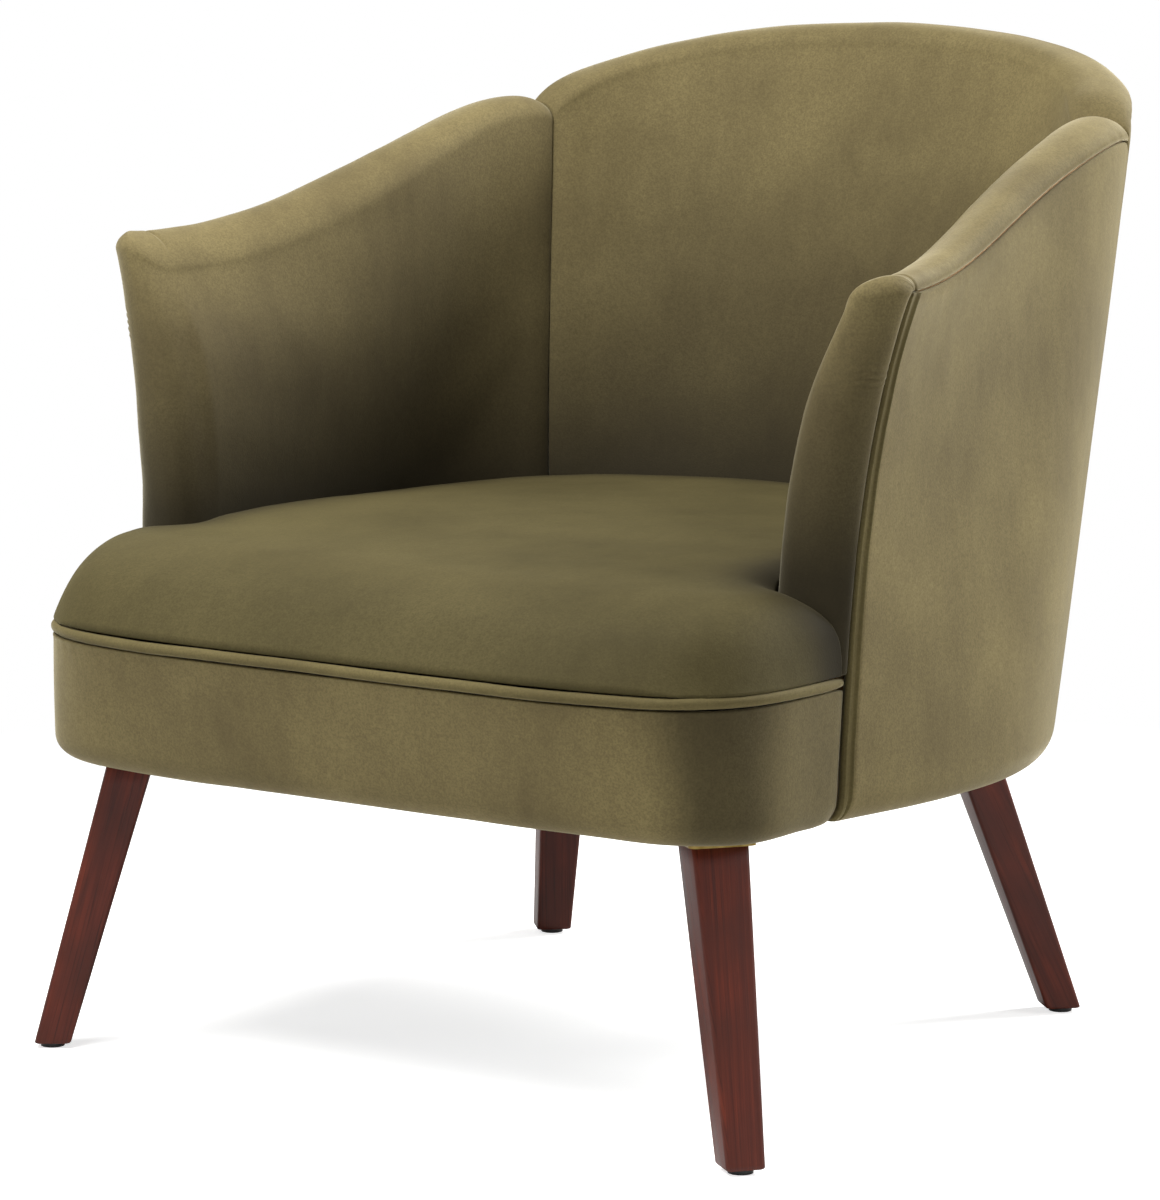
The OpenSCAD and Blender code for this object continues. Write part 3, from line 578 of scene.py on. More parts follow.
def velvet(name, deep, mid, light, streak, sheen=0.45, tint="#e6ddc0"):
    # Short-pile polyester velvet, woven and brushed: the pile leans this way and that, so broad soft
    # patches and upright streaks look lighter or darker, and edges catch a pale sheen
    material, tree = blank(name)
    here = place(tree)
    patches = fitted(tree, grain(tree, here, 120, 2.0), 0.3, 0.7)
    brushed = fitted(tree, grain(tree, place(tree, (1, 1, 0.25)), 16), 0.34, 0.66)
    base = blend(tree, patches, colour(deep), colour(light))
    base = blend(tree, 0.55, base, colour(mid))
    base = blend(tree, share_of(tree, brushed, streak), base, colour(light))
    # Crushed pile a few millimetres across
    specks = fitted(tree, grain(tree, here, 4.5, 4.0, 0.7), 0.3, 0.75)
    base = blend(tree, share_of(tree, specks, 0.36), base, colour(deep))
    tufts = fitted(tree, grain(tree, here, 1.7, 2.0, 0.6), 0.4, 0.64)
    base = blend(tree, share_of(tree, tufts, 0.34), base, colour(deep))
    # Painted shade: the colour darkens towards near black by each point's share of painted shade
    shade_amount = add(tree, "ShaderNodeAttribute", attribute_name="painted_shade").outputs["Fac"]
    base = blend(tree, shade_amount, base, colour("#1d180c"))
    # The pile itself is 0.3 mm across, drawn at 1.4 mm so that it shows
    pile = bump(tree, grain(tree, here, 1.4, 2.0), 0.35, 0.4)
    soft = bump(tree, grain(tree, here, 35, 2.0), 0.5, 1.2, pile)
    return surfaced(material, {
        "Base Color": base, "Roughness": 0.8, "Specular IOR Level": 0.15, "Sheen Weight": sheen,
        "Sheen Roughness": 0.34, "Sheen Tint": colour(tint), "Normal": soft})


def stained_wood(name):
    # Rubberwood with a dark mahogany stain under satin lacquer: fine dark pores and a slow figure run
    # along the leg, the stain takes more or less in broad clouds, and the gloss varies with the figure
    material, tree = blank(name)
    along = place(tree, (1, 0.045, 1), "UV")
    figure = fitted(tree, grain(tree, along, 11, 4.0, 0.6), 0.32, 0.68)
    pores = fitted(tree, grain(tree, place(tree, (1, 0.02, 1), "UV"), 1.6, 2.0), 0.52, 0.72)
    clouds = fitted(tree, grain(tree, place(tree), 60, 2.0), 0.3, 0.7)
    base = blend(tree, figure, colour("#3b120a"), colour("#6d2c1a"))
    base = blend(tree, clouds, base, colour("#451b10"))
    base = blend(tree, share_of(tree, pores, 0.55), base, colour("#1c0a07"))
    gloss = add(tree, "ShaderNodeMapRange", {0: figure, 3: 0.38, 4: 0.5}).outputs[0]
    return surfaced(material, {
        "Base Color": base, "Roughness": gloss, "Specular IOR Level": 0.22, "Coat Weight": 0.08,
        "Coat Roughness": 0.22, "Normal": bump(tree, pores, 0.25, 0.3)})


def plain_finish(name, dark, light, size, roughness, stretch=(1, 1, 1), metal=0.0, relief=0.3):
    """A finish whose only figure is one grain: sawn wood, cloth, wire or moulded plastic."""
    material, tree = blank(name)
    value = grain(tree, place(tree, stretch), size)
    base = blend(tree, fitted(tree, value, 0.3, 0.7), colour(dark), colour(light))
    return surfaced(material, {"Base Color": base, "Roughness": roughness, "Metallic": metal,
                               "Normal": bump(tree, value, 0.4, relief)})


cover = velvet("short_pile_velvet", "#4a4028", "#6f6342", "#8c7f55", streak=0.15)
seat_cover = velvet("short_pile_velvet_seat", "#39321b", "#4b4428", "#5f5636", streak=0.14, sheen=0.1,
                    tint="#d8cb98")
cord_cover = velvet("bias_cut_velvet", "#4a4127", "#5f5535", "#7b7049", streak=0.1, sheen=0.36)
leg_wood = stained_wood("mahogany_stained_rubberwood")
# Sawn beech: pale, with long fibres
beech = plain_finish("sawn_beech", "#b98f5e", "#d9b583", 6, 0.7, (1, 1, 0.15))
# Spring wire, drawn and oiled: dark grey with a dull gleam
wire = plain_finish("oiled_spring_wire", "#3c3d40", "#6b6d70", 3, 0.35, metal=1.0)
# Elastic webbing, needled deck cloth and spunbond dust cloth: black, matt and slightly fuzzy
webbing = plain_finish("elastic_webbing", "#141416", "#2b2b2e", 2, 0.9)
decking = plain_finish("needled_deck_cloth", "#1a1a1c", "#303033", 3, 0.95)
dust_cloth = plain_finish("spunbond_dust_cloth", "#0e0e10", "#222225", 2.2, 0.9, relief=0.5)
# Stamped steel plates in yellow zinc, which dulls to a brownish gold, and bolts and nuts in bright zinc
zinc = plain_finish("yellow_zinc_plate", "#6f5c2f", "#94804d", 10, 0.32, metal=1.0)
bright_zinc = plain_finish("bright_zinc_steel", "#8b8d90", "#b9bbbe", 8, 0.3, metal=1.0)
# Moulded nylon glides: black and satin
nylon = plain_finish("black_nylon", "#0d0d0d", "#1b1b1b", 4, 0.5)

wooden_parts = ("rail", "post", "block")
node_finish = {
    beech: [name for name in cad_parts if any(part in name for part in wooden_parts)],
    wire: ["seat_springs", "spring_clips"],
    webbing: ["back_webbing"],
    decking: ["seat_decking"],
    dust_cloth: ["dust_cover"],
    zinc: ["leg_plates", "plate_screws"],
    bright_zinc: ["hanger_bolts", "tee_nuts"],
    nylon: ["foot_glides"],
}
for finish, names in node_finish.items():
    for name in names:
        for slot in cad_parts[name].material_slots:
            slot.material = finish


def stand_for(piece, node):
    """Makes a piece ride on the chair and stand for its CAD node."""
    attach(piece, "root")
    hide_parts(node)


def stand_pair(name, outer, inner, material, fill=None, painted_shade=None):
    """One cover on the right and its mirror image on the left."""
    for side, mirrored in (("right", False), ("left", True)):
        piece = shell_piece(f"{name}_cover_{side}", outer, inner, material, mirrored, painted_shade=painted_shade)
        stand_for(piece if fill is None else subdivide(piece), f"{name}_{side}")


def tube_faces(rings, sides):
    """Faces of a tube of rings of points, with both ends closed."""
    last = (rings - 1) * sides
    faces = [(i + j, i + (j + 1) % sides, i + sides + (j + 1) % sides, i + sides + j)
             for i in range(0, last, sides) for j in range(sides)]
    return faces + [tuple(range(sides)), tuple(range(last, last + sides))]


def bunched(count):
    """Shares from 0 to 1 that crowd towards both ends."""
    power = 1.7
    line = [2 * k / count - 1 for k in range(count + 1)]
    return [0.5 + 0.5 * math.copysign(1 - (1 - abs(x)) ** power, x) for x in line]


def shade_in_tub(grid, power=1.3):
    """Share of painted shade in the tub: most just above the seat, none near the crest."""
    most, crest_lead_in = 0.92, 10
    top = grid[:, -1, 2][:, None]
    rest = np.clip((top + crest_lead_in - grid[:, :, 2]) / (top - seat_side_h), 0, 1)
    return most * rest ** power


# Inside back: one padded cover from the seat up over the crest
back_stations = bunched(120)


def back_rule(i, j, p, along, across):
    edge = min(along, back_length - along)
    lift = 0.9 * uneven(p, 95, 1) + 0.5 * uneven(p, 38, 2)
    seam = max(0.0, across_end[i] - across)
    lift += 0.9 * puckers(along, seam, 11, 9, 3) + 0.7 * puckers(across, edge, 13, 10, 4)
    return lift * ease(min(edge, seam + 1) / 5) - sunk(seam, 1.6)


back_grid = np.array([side_visible(1, t) for t in back_stations])
back_length = arc_lengths(back_grid, 0)[-1].max()
across_end = arc_lengths(back_grid, 1)[:, -1]
back_grid = settled("back_cloth", raise_grid(back_grid, back_rule, -1), fullness=0.008, most=1.8)
# The inside back carries painted shade, darker towards the seat
inside_back = shell_piece("inside_back_cover", back_grid, [side_hidden(1, t) for t in back_stations], cover,
                          painted_shade=shade_in_tub(back_grid))
stand_for(subdivide(inside_back), "inside_back")

# Inside arms: each is one cover round the padded arm front and back to the seam
nose_parts = [(0, t) for t in steps(14)] + [(1, t) for t in steps(16)[1:-1]]
nose_count = len(nose_parts)
tip_seam, seam_step = 0.0115, 0.0025
arm_steps = [1 - (1 - k) ** 1.5 for k in steps(84)]
arm_stations = sorted(arm_steps + [tip_seam + seam_step * k for k in range(-4, 5)])
arm_grid = np.array([nose_visible(*part) for part in nose_parts] + [side_visible(0, t) for t in arm_stations])
arm_hidden = [nose_hidden(*part) for part in nose_parts] + [side_hidden(0, t) for t in arm_stations]


def tip_slope(p):
    """Lets the inner front corner of the arm's crest fall away towards the seat."""
    drop, reach, height = 19, 48, 95
    (ox, oy), (nx, ny) = plan(0, p[2]), inward(0, p[2])
    depth, behind = (p[0] - ox) * nx + (p[1] - oy) * ny, (p[1] - oy) * nx - (p[0] - ox) * ny
    top = arm_height - crest_rise
    near = ease(1 - max(0, behind) / reach) * ease((p[2] - top + height) / height)
    return p[0], p[1], p[2] - drop * near * clamp(depth / rim_t) ** 1.5


arm_grid = np.array([[tip_slope(p) for p in row] for row in arm_grid])
# The padding turns from the arm front to the side without a crease
first, last, smoothings = nose_count - 9, nose_count + 16, 10
for _ in range(smoothings):
    before, after = arm_grid[first - 1:last - 1], arm_grid[first + 1:last + 1]
    arm_grid[first:last] = (before + 2 * arm_grid[first:last] + after) / 4
arm_along = arc_lengths(arm_grid, 0)
arm_across_end = arc_lengths(arm_grid, 1)[:, -1]
tip_along = arm_along[nose_count + arm_stations.index(tip_seam)]


def arm_rule(i, j, p, along, across):
    back_edge = arm_along[-1, j] - along
    seam = max(0.0, arm_across_end[i] - across)
    edge = min(along, back_edge)
    lift = 0.9 * uneven(p, 90, 5) + 0.5 * uneven(p, 36, 6)
    lift += 1.0 * puckers(along, seam, 10, 9, 7) + 0.7 * puckers(across, back_edge, 13, 10, 8)
    lift += 0.8 * puckers(across, along, 8, 12, 9)
    # Fuller padding half way up, from the strip to some way along the arm
    fullness, from_strip, reach, fade, below_crest = 4, 40, 220, 150, 30
    height = clamp((p[2] - seat_side_h) / (arm_height - below_crest - seat_side_h))
    lift += fullness * math.sin(math.pi * height) * ease(along / from_strip) * ease((reach - along) / fade)
    lift = lift * ease(min(edge, seam + 1) / 5) - sunk(seam, 1.6)
    return lift - sunk(along, 2.0) * (j < face_rows)


def wrinkle_rule(i, j, p, along, across):
    """Seam over the crest just behind the tip, and fine folds pulled square to the strip."""
    groove_depth, groove_w, first_row, rows_in = 1.7, 1.5, 3, 8
    fold_depth, fold_step, fold_level, fold_spread, from_strip, reach = 0.8, 5.4, 567, 13, 15, 11
    over = ease((j - face_rows - first_row) / rows_in)
    groove = groove_depth * over * math.exp(-((along - tip_along[j]) / groove_w) ** 2)
    folds = math.sin(2 * math.pi * p[2] / fold_step + 1.2 * math.sin(along / 4))
    folds *= math.exp(-((p[2] - fold_level) / fold_spread) ** 2)
    folds *= math.exp(-((along - from_strip) / reach) ** 2)
    return fold_depth * folds * (j < face_rows) - groove


# The cloth is worked out on the rows and columns that lie evenly apart
even_columns = [j for j in range(arm_grid.shape[1]) if j > face_rows or arm_shares[j] in wall_shares]
even_rows = list(range(0, nose_count, 2))
even_rows += [nose_count + k for k, t in enumerate(arm_stations) if t in arm_steps]
arm_grid = settled("arm_cloth", raise_grid(arm_grid, arm_rule, -1), fullness=0.003, most=0.9,
                   rows=even_rows, columns=even_columns)
arm_grid = raise_grid(arm_grid, wrinkle_rule, -1)
# Painted shade on the inside arms, darker towards the seat
arm_shade = shade_in_tub(arm_grid, 0.95)
stand_pair("inside_arm", arm_grid, arm_hidden, cover, fill=0.85, painted_shade=arm_shade)


# Outside covers
def flare(z):
    """Extra width of the strip, which opens towards the arm tip."""
    most, start, height = 8, 75, 55
    return most * clamp((z - arm_height + start) / height) ** 2


def start_u(z):
    """Place in plan where the outside arm starts, just behind the strip."""
    (fx, fy), (sx, sy) = front_at(z), side_at(z)
    first_handle = math.hypot((sx - fx) * flare_shares[0], (sy - fy) * flare_shares[1])
    return (strip_half + flare(z)) * side_share / (3 * first_handle)


panel_rows = 60


def panel_grid(back, stations, skin):
    """Outside back or outside arm at depth skin inside the shell's outer face."""
    rows = []
    for t in stations:
        line = cover_line(skin, shell_round, station_top(back, t) - (3 if back else 2) * gap, panel_rows)
        rows.append([wall(station(1, t, z) if back else mix(start_u(z), notch(z) - split, t), d, z)
                     for d, z in line])
    return np.array(rows)


def panel_rule(i, j, p, along, across):
    seam = max(0.0, panel_end[i] - across)
    edge = min(along, panel_along[-1, j] - along)
    lift = 0.5 * uneven(p, 120, 11) + 0.8 * puckers(along, seam, 9, 8, 12)
    lift += 0.5 * puckers(across, along, 16, 6, 13)
    return lift * ease(min(seam, edge) / 3) - sunk(min(seam, edge), 1.8)


for name, back, stations in (("outside_back", 1, bunched(110)), ("outside_arm", 0, bunched(100))):
    outer = panel_grid(back, stations, 0)
    hidden = panel_grid(back, stations, panel_t)
    panel_along, panel_end = arc_lengths(outer, 0), arc_lengths(outer, 1)[:, -1]
    outer = raise_grid(outer, panel_rule, 1)
    if back:
        stand_for(subdivide(shell_piece(f"{name}_cover", outer, hidden, cover)), name)
    else:
        stand_pair(name, outer, hidden, cover, fill=1.0)


# Strips down the arm fronts
def edge_inset(h, r):
    """How far a rounded hem lies in at height h above its foot."""
    return 0 if h >= r else r - math.sqrt(max(0, r * r - (r - h) ** 2))


def strip_inset(z, e):
    """Rounding at the strip's foot; e runs across it from the outside (-1) to the inside (1)."""
    return edge_inset(z - base_height, band_round if e > 0 else shell_round)


strip_heights = [mix(base_height + strip_foot, crest(0) - crest_rise, t) for t in steps(90)]
strip_shares = [1 - 2 * k for k in steps(22)]


def strip_across(z, e):
    """Distance ahead of the shell's front edge, with the slight waver of a strip pulled by hand."""
    most, waver_step = 0.7, 28
    waver = most * noise.noise(Vector((z / waver_step, 4.0, 1.0)))
    return e * strip_w / 2 + waver - flare(z) * max(0, -e)


def strip_profile(e):
    """Depth across the strip: sunk at both edges, flat, then a thin rolled rib on the outside."""
    sunk_from, proud, rib_proud, rib_place, rib_w = 0.72, 0.9, 2.6, -0.52, 0.2
    edge = strip_proud * max(0, abs(e) - sunk_from) / (1 - sunk_from)
    return edge - proud - rib_proud * math.exp(-((e - rib_place) / rib_w) ** 2)


def strip_grid(depth_rule):
    return np.array([[nose(strip_inset(z, e) + depth_rule(e), strip_across(z, e), z) for z in strip_heights]
                     for e in strip_shares])


stand_pair("arm_strip", strip_grid(strip_profile), strip_grid(lambda e: panel_t), cord_cover)

# Seat: crowned, rolled down to the cord in front, tucked in along the arms and the back
pad_a = front_at(cord_level)[0] - cord_set
pad_y = front_at(cord_level)[1] - strip_half
pad_b = overall_depth / 2 + pad_y - cord_set
power = high_corner_share


def square_off(c):
    """Outline of the seat's front as a share of its reach, at a share c of its half width."""
    return max(0.0, 1 - clamp(c) ** power) ** (1 / power)


def roll(t, fullness=2):
    """Rounding from 0 at an edge to 1 on the flat; a higher fullness is a squarer shoulder."""
    return (1 - (1 - clamp(t)) ** fullness) ** (1 / fullness)


def crown(x, y):
    """Height of the stuffing: broad across the front, rounder and lower towards the back."""
    front_power, back_power, change, back_fall = 4, 2, 230, 0.25
    across = mix(front_power, back_power, ease((y - pad_y) / change))
    return seat_side_h + (seat_height - seat_side_h) * max(0, 1 - abs(x / pad_a) ** across) * max(
        0, 1 - back_fall * (y / pad_b) ** 2)


def front_top(x, y):
    """Height of the seat without its tucks: the crown, rolled down to the cord in front and at the sides."""
    side_power, change = 2.4, 70
    front_depth = y - pad_y + pad_b * square_off(abs(x) / pad_a)
    side_depth = pad_a * square_off((pad_y - y) / pad_b) - abs(x)
    side_rise = roll(side_depth / side_roll, side_power + ease(1 - (pad_y - y) / change))
    return mix(pad_foot + edge_lip, crown(x, y), roll(front_depth / seat_roll) * side_rise)


bend = 0.5 ** (1 / power)
ridge = ridge_share * seat_wall(0)
back_end = 0.74
strip_room, arm_room, wall_room = 1, 1.2, 1.5


def arm_foot(part, count):
    """Line round the arm front where it stands on the seat, with a little room."""
    far, reach = seat_wall(0) + arm_room, arm_nose + arm_room
    return [nose_at(part, t, -strip_room, ridge, far, reach, seat_side_h) for t in steps(count)]


def wall_foot(u):
    """Point where the shell's inside face meets the seat, with a little room."""
    return wall(u, seat_wall(u) + wall_room, seat_side_h)


# Columns of points from the middle of the seat outwards: the inner ones run back between the arms along
# the path, and the others end in front of the arms
nose_outside, nose_inside = arm_foot(0, 24), arm_foot(1, 8)
ridge_x, ridge_y = nose_inside[0][0], nose_inside[0][1]
path = nose_inside + [wall_foot(back_end * t) for t in steps(60)[1:]]
last_y = path[-1][1]
inner_columns = [1 - (1 - k) ** 1.7 for k in steps(46)]
half_columns = [k * ridge_x / pad_a for k in inner_columns]
half_columns += [mix(ridge_x / pad_a, 1, 1 - (1 - k) ** 1.8) for k in steps(15)[1:]]
inner_count, side_count = len(inner_columns), len(half_columns)
far = [wall_foot(mix(1, back_end, k)) for k in inner_columns]
arm_xs, arm_ys = [p[0] for p in nose_outside][::-1], [p[1] for p in nose_outside][::-1]

# Points close together along the arms and the back, to measure the distance to them
foot_line = np.array(path + far[::-1] + nose_outside)[:, :2]
between, widest = 12, 40
foot_points = np.concatenate([np.linspace(a, b, between) for a, b in zip(foot_line[:-1], foot_line[1:])
                              if np.linalg.norm(b - a) < widest])


def from_walls(x, y):
    """Square of the distance to the arms or the back."""
    return ((foot_points - (abs(x), y)) ** 2).sum(axis=1).min()


def first_line(x):
    """How far forward the seat's first inner line runs at x: straight, then round the arm front."""
    return ridge_y if x <= ridge_x else float(np.interp(x, arm_xs, arm_ys))


def seat_top(x, y):
    """Height of the seat with its tucks along the walls, fuller where the arms begin."""
    lead, full_after, full_for, fade, swell, tuck_less = 8, 38, 70, 230, 5, 12
    fullness = front_top(x, y)
    held = (fullness - pad_foot - edge_lip) / (crown(x, y) - pad_foot - edge_lip)
    away = np.sqrt(from_walls(x, y))
    behind = y - ridge_y
    plump = ease((behind + lead) / full_after) * (1 - ease((behind - full_for) / fade))
    tuck = (tuck_drop - tuck_less * plump) * (1 - roll(away / tuck_w)) * held
    return fullness + swell * plump * (x / pad_a) ** 2 - tuck


def front_spot(t, k):
    """Point in column k of the seat ahead of the arms; t is 1 at the cord and 0 at the arm fronts."""
    straight_reach = 60
    s = t * bend * pad_b
    ex = pad_a * square_off(s / pad_b)
    a = math.pi / 2 - math.pi / 4 * half_columns[k] ** 0.8
    fx, fy = pad_a * math.cos(a) ** (2 / power), pad_b * math.sin(a) ** (2 / power)
    x = mix(half_columns[k] * ex, fx * ex / (bend * pad_a), t)
    y = pad_y - s - t * t * (fy - bend * pad_b)
    y += (first_line(x) - pad_y) * max(0, 1 - s / straight_reach)
    return x, y, seat_top(x, y)


def inner_spot(step, k):
    """Point in column k of the seat between the arms, level with a step of the path."""
    least_step = 1.5
    k = min(k, inner_count - 1)
    x_end, y_end, _ = path[step]
    t = clamp((y_end - ridge_y) / (last_y - ridge_y))
    x = mix(inner_columns[k] * x_end, far[k][0] * x_end / path[-1][0], t)
    y = max(y_end, ridge_y + least_step * step) + t * t * (far[k][1] - last_y)
    return x, y, seat_top(x, y)


def seat_row(spot, where):
    """Row of points across the seat: its right half, after its mirror image."""
    row = [spot(where, k) for k in range(side_count)]
    return [(-x, y, z) for x, y, z in row[:0:-1]] + row


def under(row, z):
    return [(x, y, z) for x, y, _ in row]


front_count = 44
front_rows = [seat_row(front_spot, 1 - (1 - k) ** 0.6) for k in steps(front_count)[::-1]]
inner_rows = [seat_row(inner_spot, step) for step in range(1, len(path))]
seat_under = [under(row, pad_foot) for row in front_rows] + [under(row, deck_top + gap) for row in inner_rows]


def seat_rule(i, j, p, along, across):
    return 0.7 * uneven(p, 110, 21) + 0.4 * uneven(p, 34, 22)


def seat_keeps(i, j):
    """Between the arms the seat has only its inner columns."""
    return i < front_count or side_count - inner_count <= j < side_count + inner_count - 2


seat_grid = raise_grid(np.array(front_rows + inner_rows), seat_rule, -1)
seat_grid = settled("seat_cloth", seat_grid, fullness=0.003, most=1.2, keep=seat_keeps)
# Painted shade on the seat, darkest beside the arms and the back
deepest_shade, shade_w = 0.97, 40
shade = np.array([[deepest_shade * math.exp(-from_walls(x, y) / shade_w ** 2) for x, y, z in row]
                  for row in seat_grid])
seat = shell_piece("seat_cover", seat_grid, seat_under, seat_cover, keep=seat_keeps, painted_shade=shade)
stand_for(subdivide(seat), "seat_pad")

# Cord between seat and band, with slight swells, a slight waver up and down, and its ends drawn in
cord_sides, look_ahead, end_share = 14, 0.001, 0.75
cord_swell, swell_length, cord_waver, waver_length = 0.03, 9, 0.8, 70
turns = [2 * math.pi * k / cord_sides for k in range(cord_sides)]
cord_rings = []
for v in steps(360):
    x, y, z = front(v, cord_d / 2, cord_level)
    (ax, ay, _), (bx, by, _) = front(max(0, v - look_ahead), 0, z), front(min(1, v + look_ahead), 0, z)
    length = math.hypot(bx - ax, by - ay)
    nx, ny = (by - ay) / length, -(bx - ax) / length
    pinched = end_share if v in (0, 1) else 1
    swell = cord_swell * noise.noise(Vector((x / swell_length, y / swell_length, 2.0)))
    r = cord_d / 2 * (1 + swell) * pinched
    z += cord_waver * noise.noise(Vector((x / waver_length, y / waver_length, 5.0)))
    cord_rings.append([(x + r * math.cos(a) * nx, y + r * math.cos(a) * ny, z - r * math.sin(a))
                       for a in turns])
cord = new_piece("seat_cord_cover", [p for ring in cord_rings for p in ring],
                 tube_faces(len(cord_rings), cord_sides), cord_cover)
stand_for(subdivide(cord), "seat_cord")

# Front band
band_stations, band_rows = steps(260), 26


def band_grid(skin):
    """Front band at depth skin inside its outer face."""
    line = cover_line(skin, band_round, cord_level - cord_d / 2 - gap, band_rows)
    return np.array([[front(v, d + cord_set, z) for d, z in line] for v in band_stations])


band_outer = band_grid(0)
band_along, band_end = arc_lengths(band_outer, 0), arc_lengths(band_outer, 1)[:, -1]


def band_rule(i, j, p, along, across):
    seam = max(0.0, band_end[i] - across)
    edge = min(along, band_along[-1, j] - along)
    lift = 0.9 * uneven((p[0], p[1], p[2] * 0.35), 55, 31) + 0.6 * puckers(along, seam, 9, 10, 32)
    return lift * ease(min(seam, edge) / 4) - sunk(min(seam, edge), 1.2, 4)


# Painted shade round the band's right corner, and less of it at the strip
darkest, dark_from, dark_over = 0.62, 0.66, 0.13
less, less_from, less_over = 0.22, 0.88, 0.1
band_shade = [darkest * ease((v - dark_from) / dark_over) - less * ease((v - less_from) / less_over)
                for v in band_stations]
band = shell_piece("front_band_cover", raise_grid(band_outer, band_rule, -1), band_grid(panel_t), cover,
                   painted_shade=np.repeat(band_shade, band_outer.shape[1]))
stand_for(subdivide(band), "front_band")

# Legs: tapered, turned to the line of their splay, with softened long edges
seat_front = -overall_depth / 2
leg_ends = {
    "front": ((front_top_x, seat_front + front_top_inset), (front_foot_x, seat_front + front_foot_inset)),
    "back": ((back_top_x, low_back_reach - back_top_inset), (back_foot_x, low_back_reach - back_foot_inset)),
}
legs = {f"leg_{end}_{side}": [(mirror * x, y) for x, y in spots]
        for side, mirror in (("right", 1), ("left", -1)) for end, spots in leg_ends.items()}
leg_round, corner_steps = 3.2, 5
# Height of each ring of points and how far it is drawn in there: both ends of a leg are softened
leg_rings = [(glide_h, 1.5), (glide_h + 0.5, 0.6), (glide_h + 1.6, 0)]
leg_rings += [(mix(glide_h + 4, leg_top - 1.2, t), 0) for t in steps(16)] + [(leg_top, 0.8)]
# Each leg has its own place in the wood's figure
figure_step = 200


def leg_outline(w, d, r):
    """Rounded rectangle, d along the splay and w across it."""
    points = []
    for quarter, (sx, sy) in enumerate(((1, 1), (-1, 1), (-1, -1), (1, -1))):
        for k in range(corner_steps + 1):
            a = math.pi / 2 * (quarter + k / corner_steps)
            points.append((sx * (d / 2 - r) + r * math.cos(a), sy * (w / 2 - r) + r * math.sin(a)))
    return points


for number, (name, (top, foot)) in enumerate(legs.items()):
    turn = math.atan2(foot[1] - top[1], foot[0] - top[0])
    points, uvs = [], []
    for h, inset in leg_rings:
        t, s = (h - glide_h) / (leg_top - glide_h), h / leg_top
        w, d = mix(leg_foot_w, leg_top_w, t), mix(leg_foot_d, leg_top_d, t)
        ring = leg_outline(w - 2 * inset, d - 2 * inset, leg_round)
        cx, cy = mix(foot[0], top[0], s), mix(foot[1], top[1], s)
        length = 0
        for k, (x, y) in enumerate(ring):
            length += math.dist(ring[k - 1], (x, y)) if k else 0
            points.append((cx + x * math.cos(turn) - y * math.sin(turn),
                           cy + x * math.sin(turn) + y * math.cos(turn), h))
            uvs.append((length + figure_step * number, h))
    leg = new_piece(f"tapered_{name}", points, tube_faces(len(leg_rings), len(ring)), leg_wood, uvs)
    stand_for(leg, name)

# Camera at the photograph's place, with a long lens shifted to the photograph's principal point
camera_turn, camera_tilt = 36.19, 9.18
camera_data = bpy.data.cameras.new("camera")
camera_data.lens = 150
camera_data.sensor_width = 36
camera_data.shift_x = 0.0509
camera_data.shift_y = 0.048
camera = new_object("camera", camera_data)
camera.location = (2.27516, -3.27321, 0.94481)
camera.rotation_euler = (math.radians(90 - camera_tilt), 0, math.radians(camera_turn))
bpy.context.scene.camera = camera

# Floor, light and white surroundings, in metres
white_light = (1, 1, 1, 1)


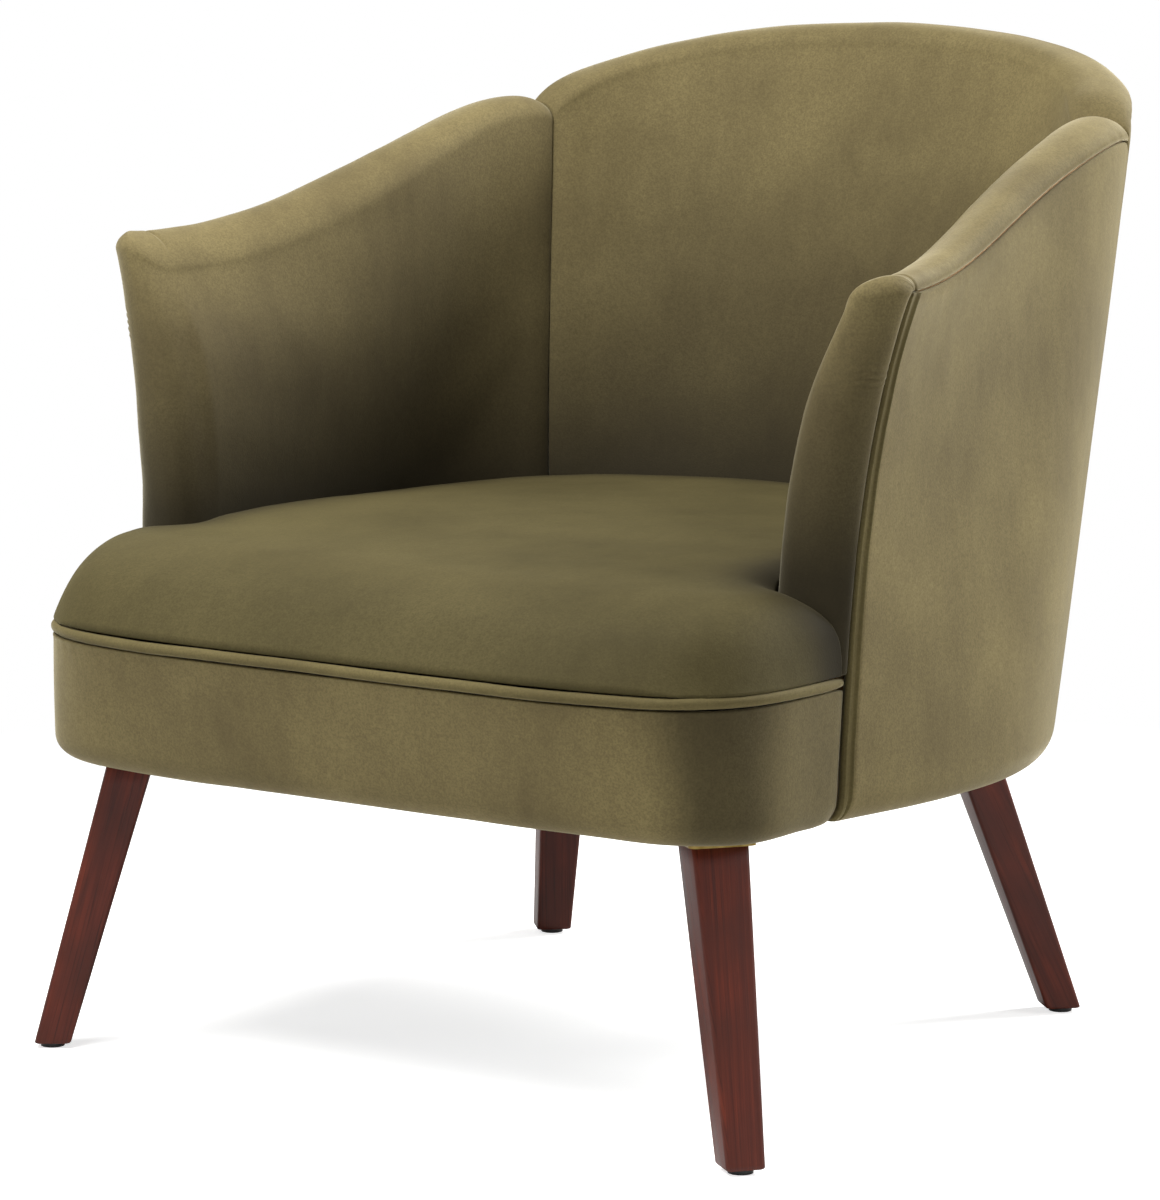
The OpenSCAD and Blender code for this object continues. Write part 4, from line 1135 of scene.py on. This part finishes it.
def stage_material():
    """White floor that shows the chair's shadow near it and melts into the white surroundings further off."""
    glow_strength, fade_from, fade_to = 0.74, 0.7, 1.5
    material, tree = blank("pale_floor")
    surface = add(tree, "ShaderNodeBsdfPrincipled", {"Base Color": colour("#f2f2f0"), "Roughness": 0.9,
                                                     "Specular IOR Level": 0.1})
    seen = add(tree, "ShaderNodeLightPath").outputs["Is Camera Ray"]
    away = add(tree, "ShaderNodeVectorMath", {0: place(tree)}, operation="LENGTH").outputs["Value"]
    white = add(tree, "ShaderNodeEmission", {"Color": white_light, "Strength": 1.0})
    glow = add(tree, "ShaderNodeEmission", {"Color": white_light, "Strength": glow_strength})
    lit = add(tree, "ShaderNodeAddShader", {0: surface.outputs[0], 1: glow.outputs[0]})
    faded = add(tree, "ShaderNodeMixShader", {0: fitted(tree, away, fade_from, fade_to), 1: lit.outputs[0],
                                              2: white.outputs[0]})
    both = add(tree, "ShaderNodeMixShader", {0: seen, 1: surface.outputs[0], 2: faded.outputs[0]})
    add(tree, "ShaderNodeOutputMaterial", {0: both.outputs[0]})
    return material


floor_half = 9
floor_corners = [(x * floor_half, y * floor_half, 0) for x, y in ((-1, -1), (1, -1), (1, 1), (-1, 1))]
floor_mesh = bpy.data.meshes.new("floor")
floor_mesh.from_pydata(floor_corners, [], [(0, 1, 2, 3)])
floor_mesh.materials.append(stage_material())
floor = new_object("floor", floor_mesh)

world = bpy.data.worlds.new("studio")
bpy.context.scene.world = world
world.use_nodes = True
sky = world.node_tree
sky.nodes.clear()
# White where it is seen or mirrored, and dim as a light
rays = add(sky, "ShaderNodeLightPath").outputs
seen = rays["Is Camera Ray"]
for ray in ("Is Transmission Ray", "Is Glossy Ray"):
    seen = add(sky, "ShaderNodeMath", {0: seen, 1: rays[ray]}, operation="MAXIMUM").outputs[0]
dim = add(sky, "ShaderNodeBackground", {"Color": white_light, "Strength": 0.06})
bright = add(sky, "ShaderNodeBackground", {"Color": white_light, "Strength": 1.0})
both = add(sky, "ShaderNodeMixShader", {0: seen, 1: dim.outputs[0], 2: bright.outputs[0]})
add(sky, "ShaderNodeOutputWorld", {0: both.outputs[0]})

# Soft round lamps, each with its place, diameter and watts, all turned to the middle of the chair
lamps = [
    ("overhead front", (-0.3, -1.0, 2.1), 1.4, 67),
    ("behind right", (1.2, 1.9, 1.9), 1.0, 86),
    ("right side", (3.1, 0.9, 1.7), 1.6, 31),
    ("front left", (-2.6, -2.6, 1.5), 1.5, 14),
]
lamp_target = Vector((0, 0, 0.45))
for name, spot, size, watts in lamps:
    lamp = bpy.data.lights.new(name, "AREA")
    lamp.shape = "DISK"
    lamp.size = size
    lamp.energy = watts
    lamp_object = new_object(name, lamp)
    lamp_object.location = spot
    lamp_object.rotation_euler = (lamp_target - Vector(spot)).to_track_quat("-Z", "Y").to_euler()

bpy.context.scene.view_settings.view_transform = "Standard"
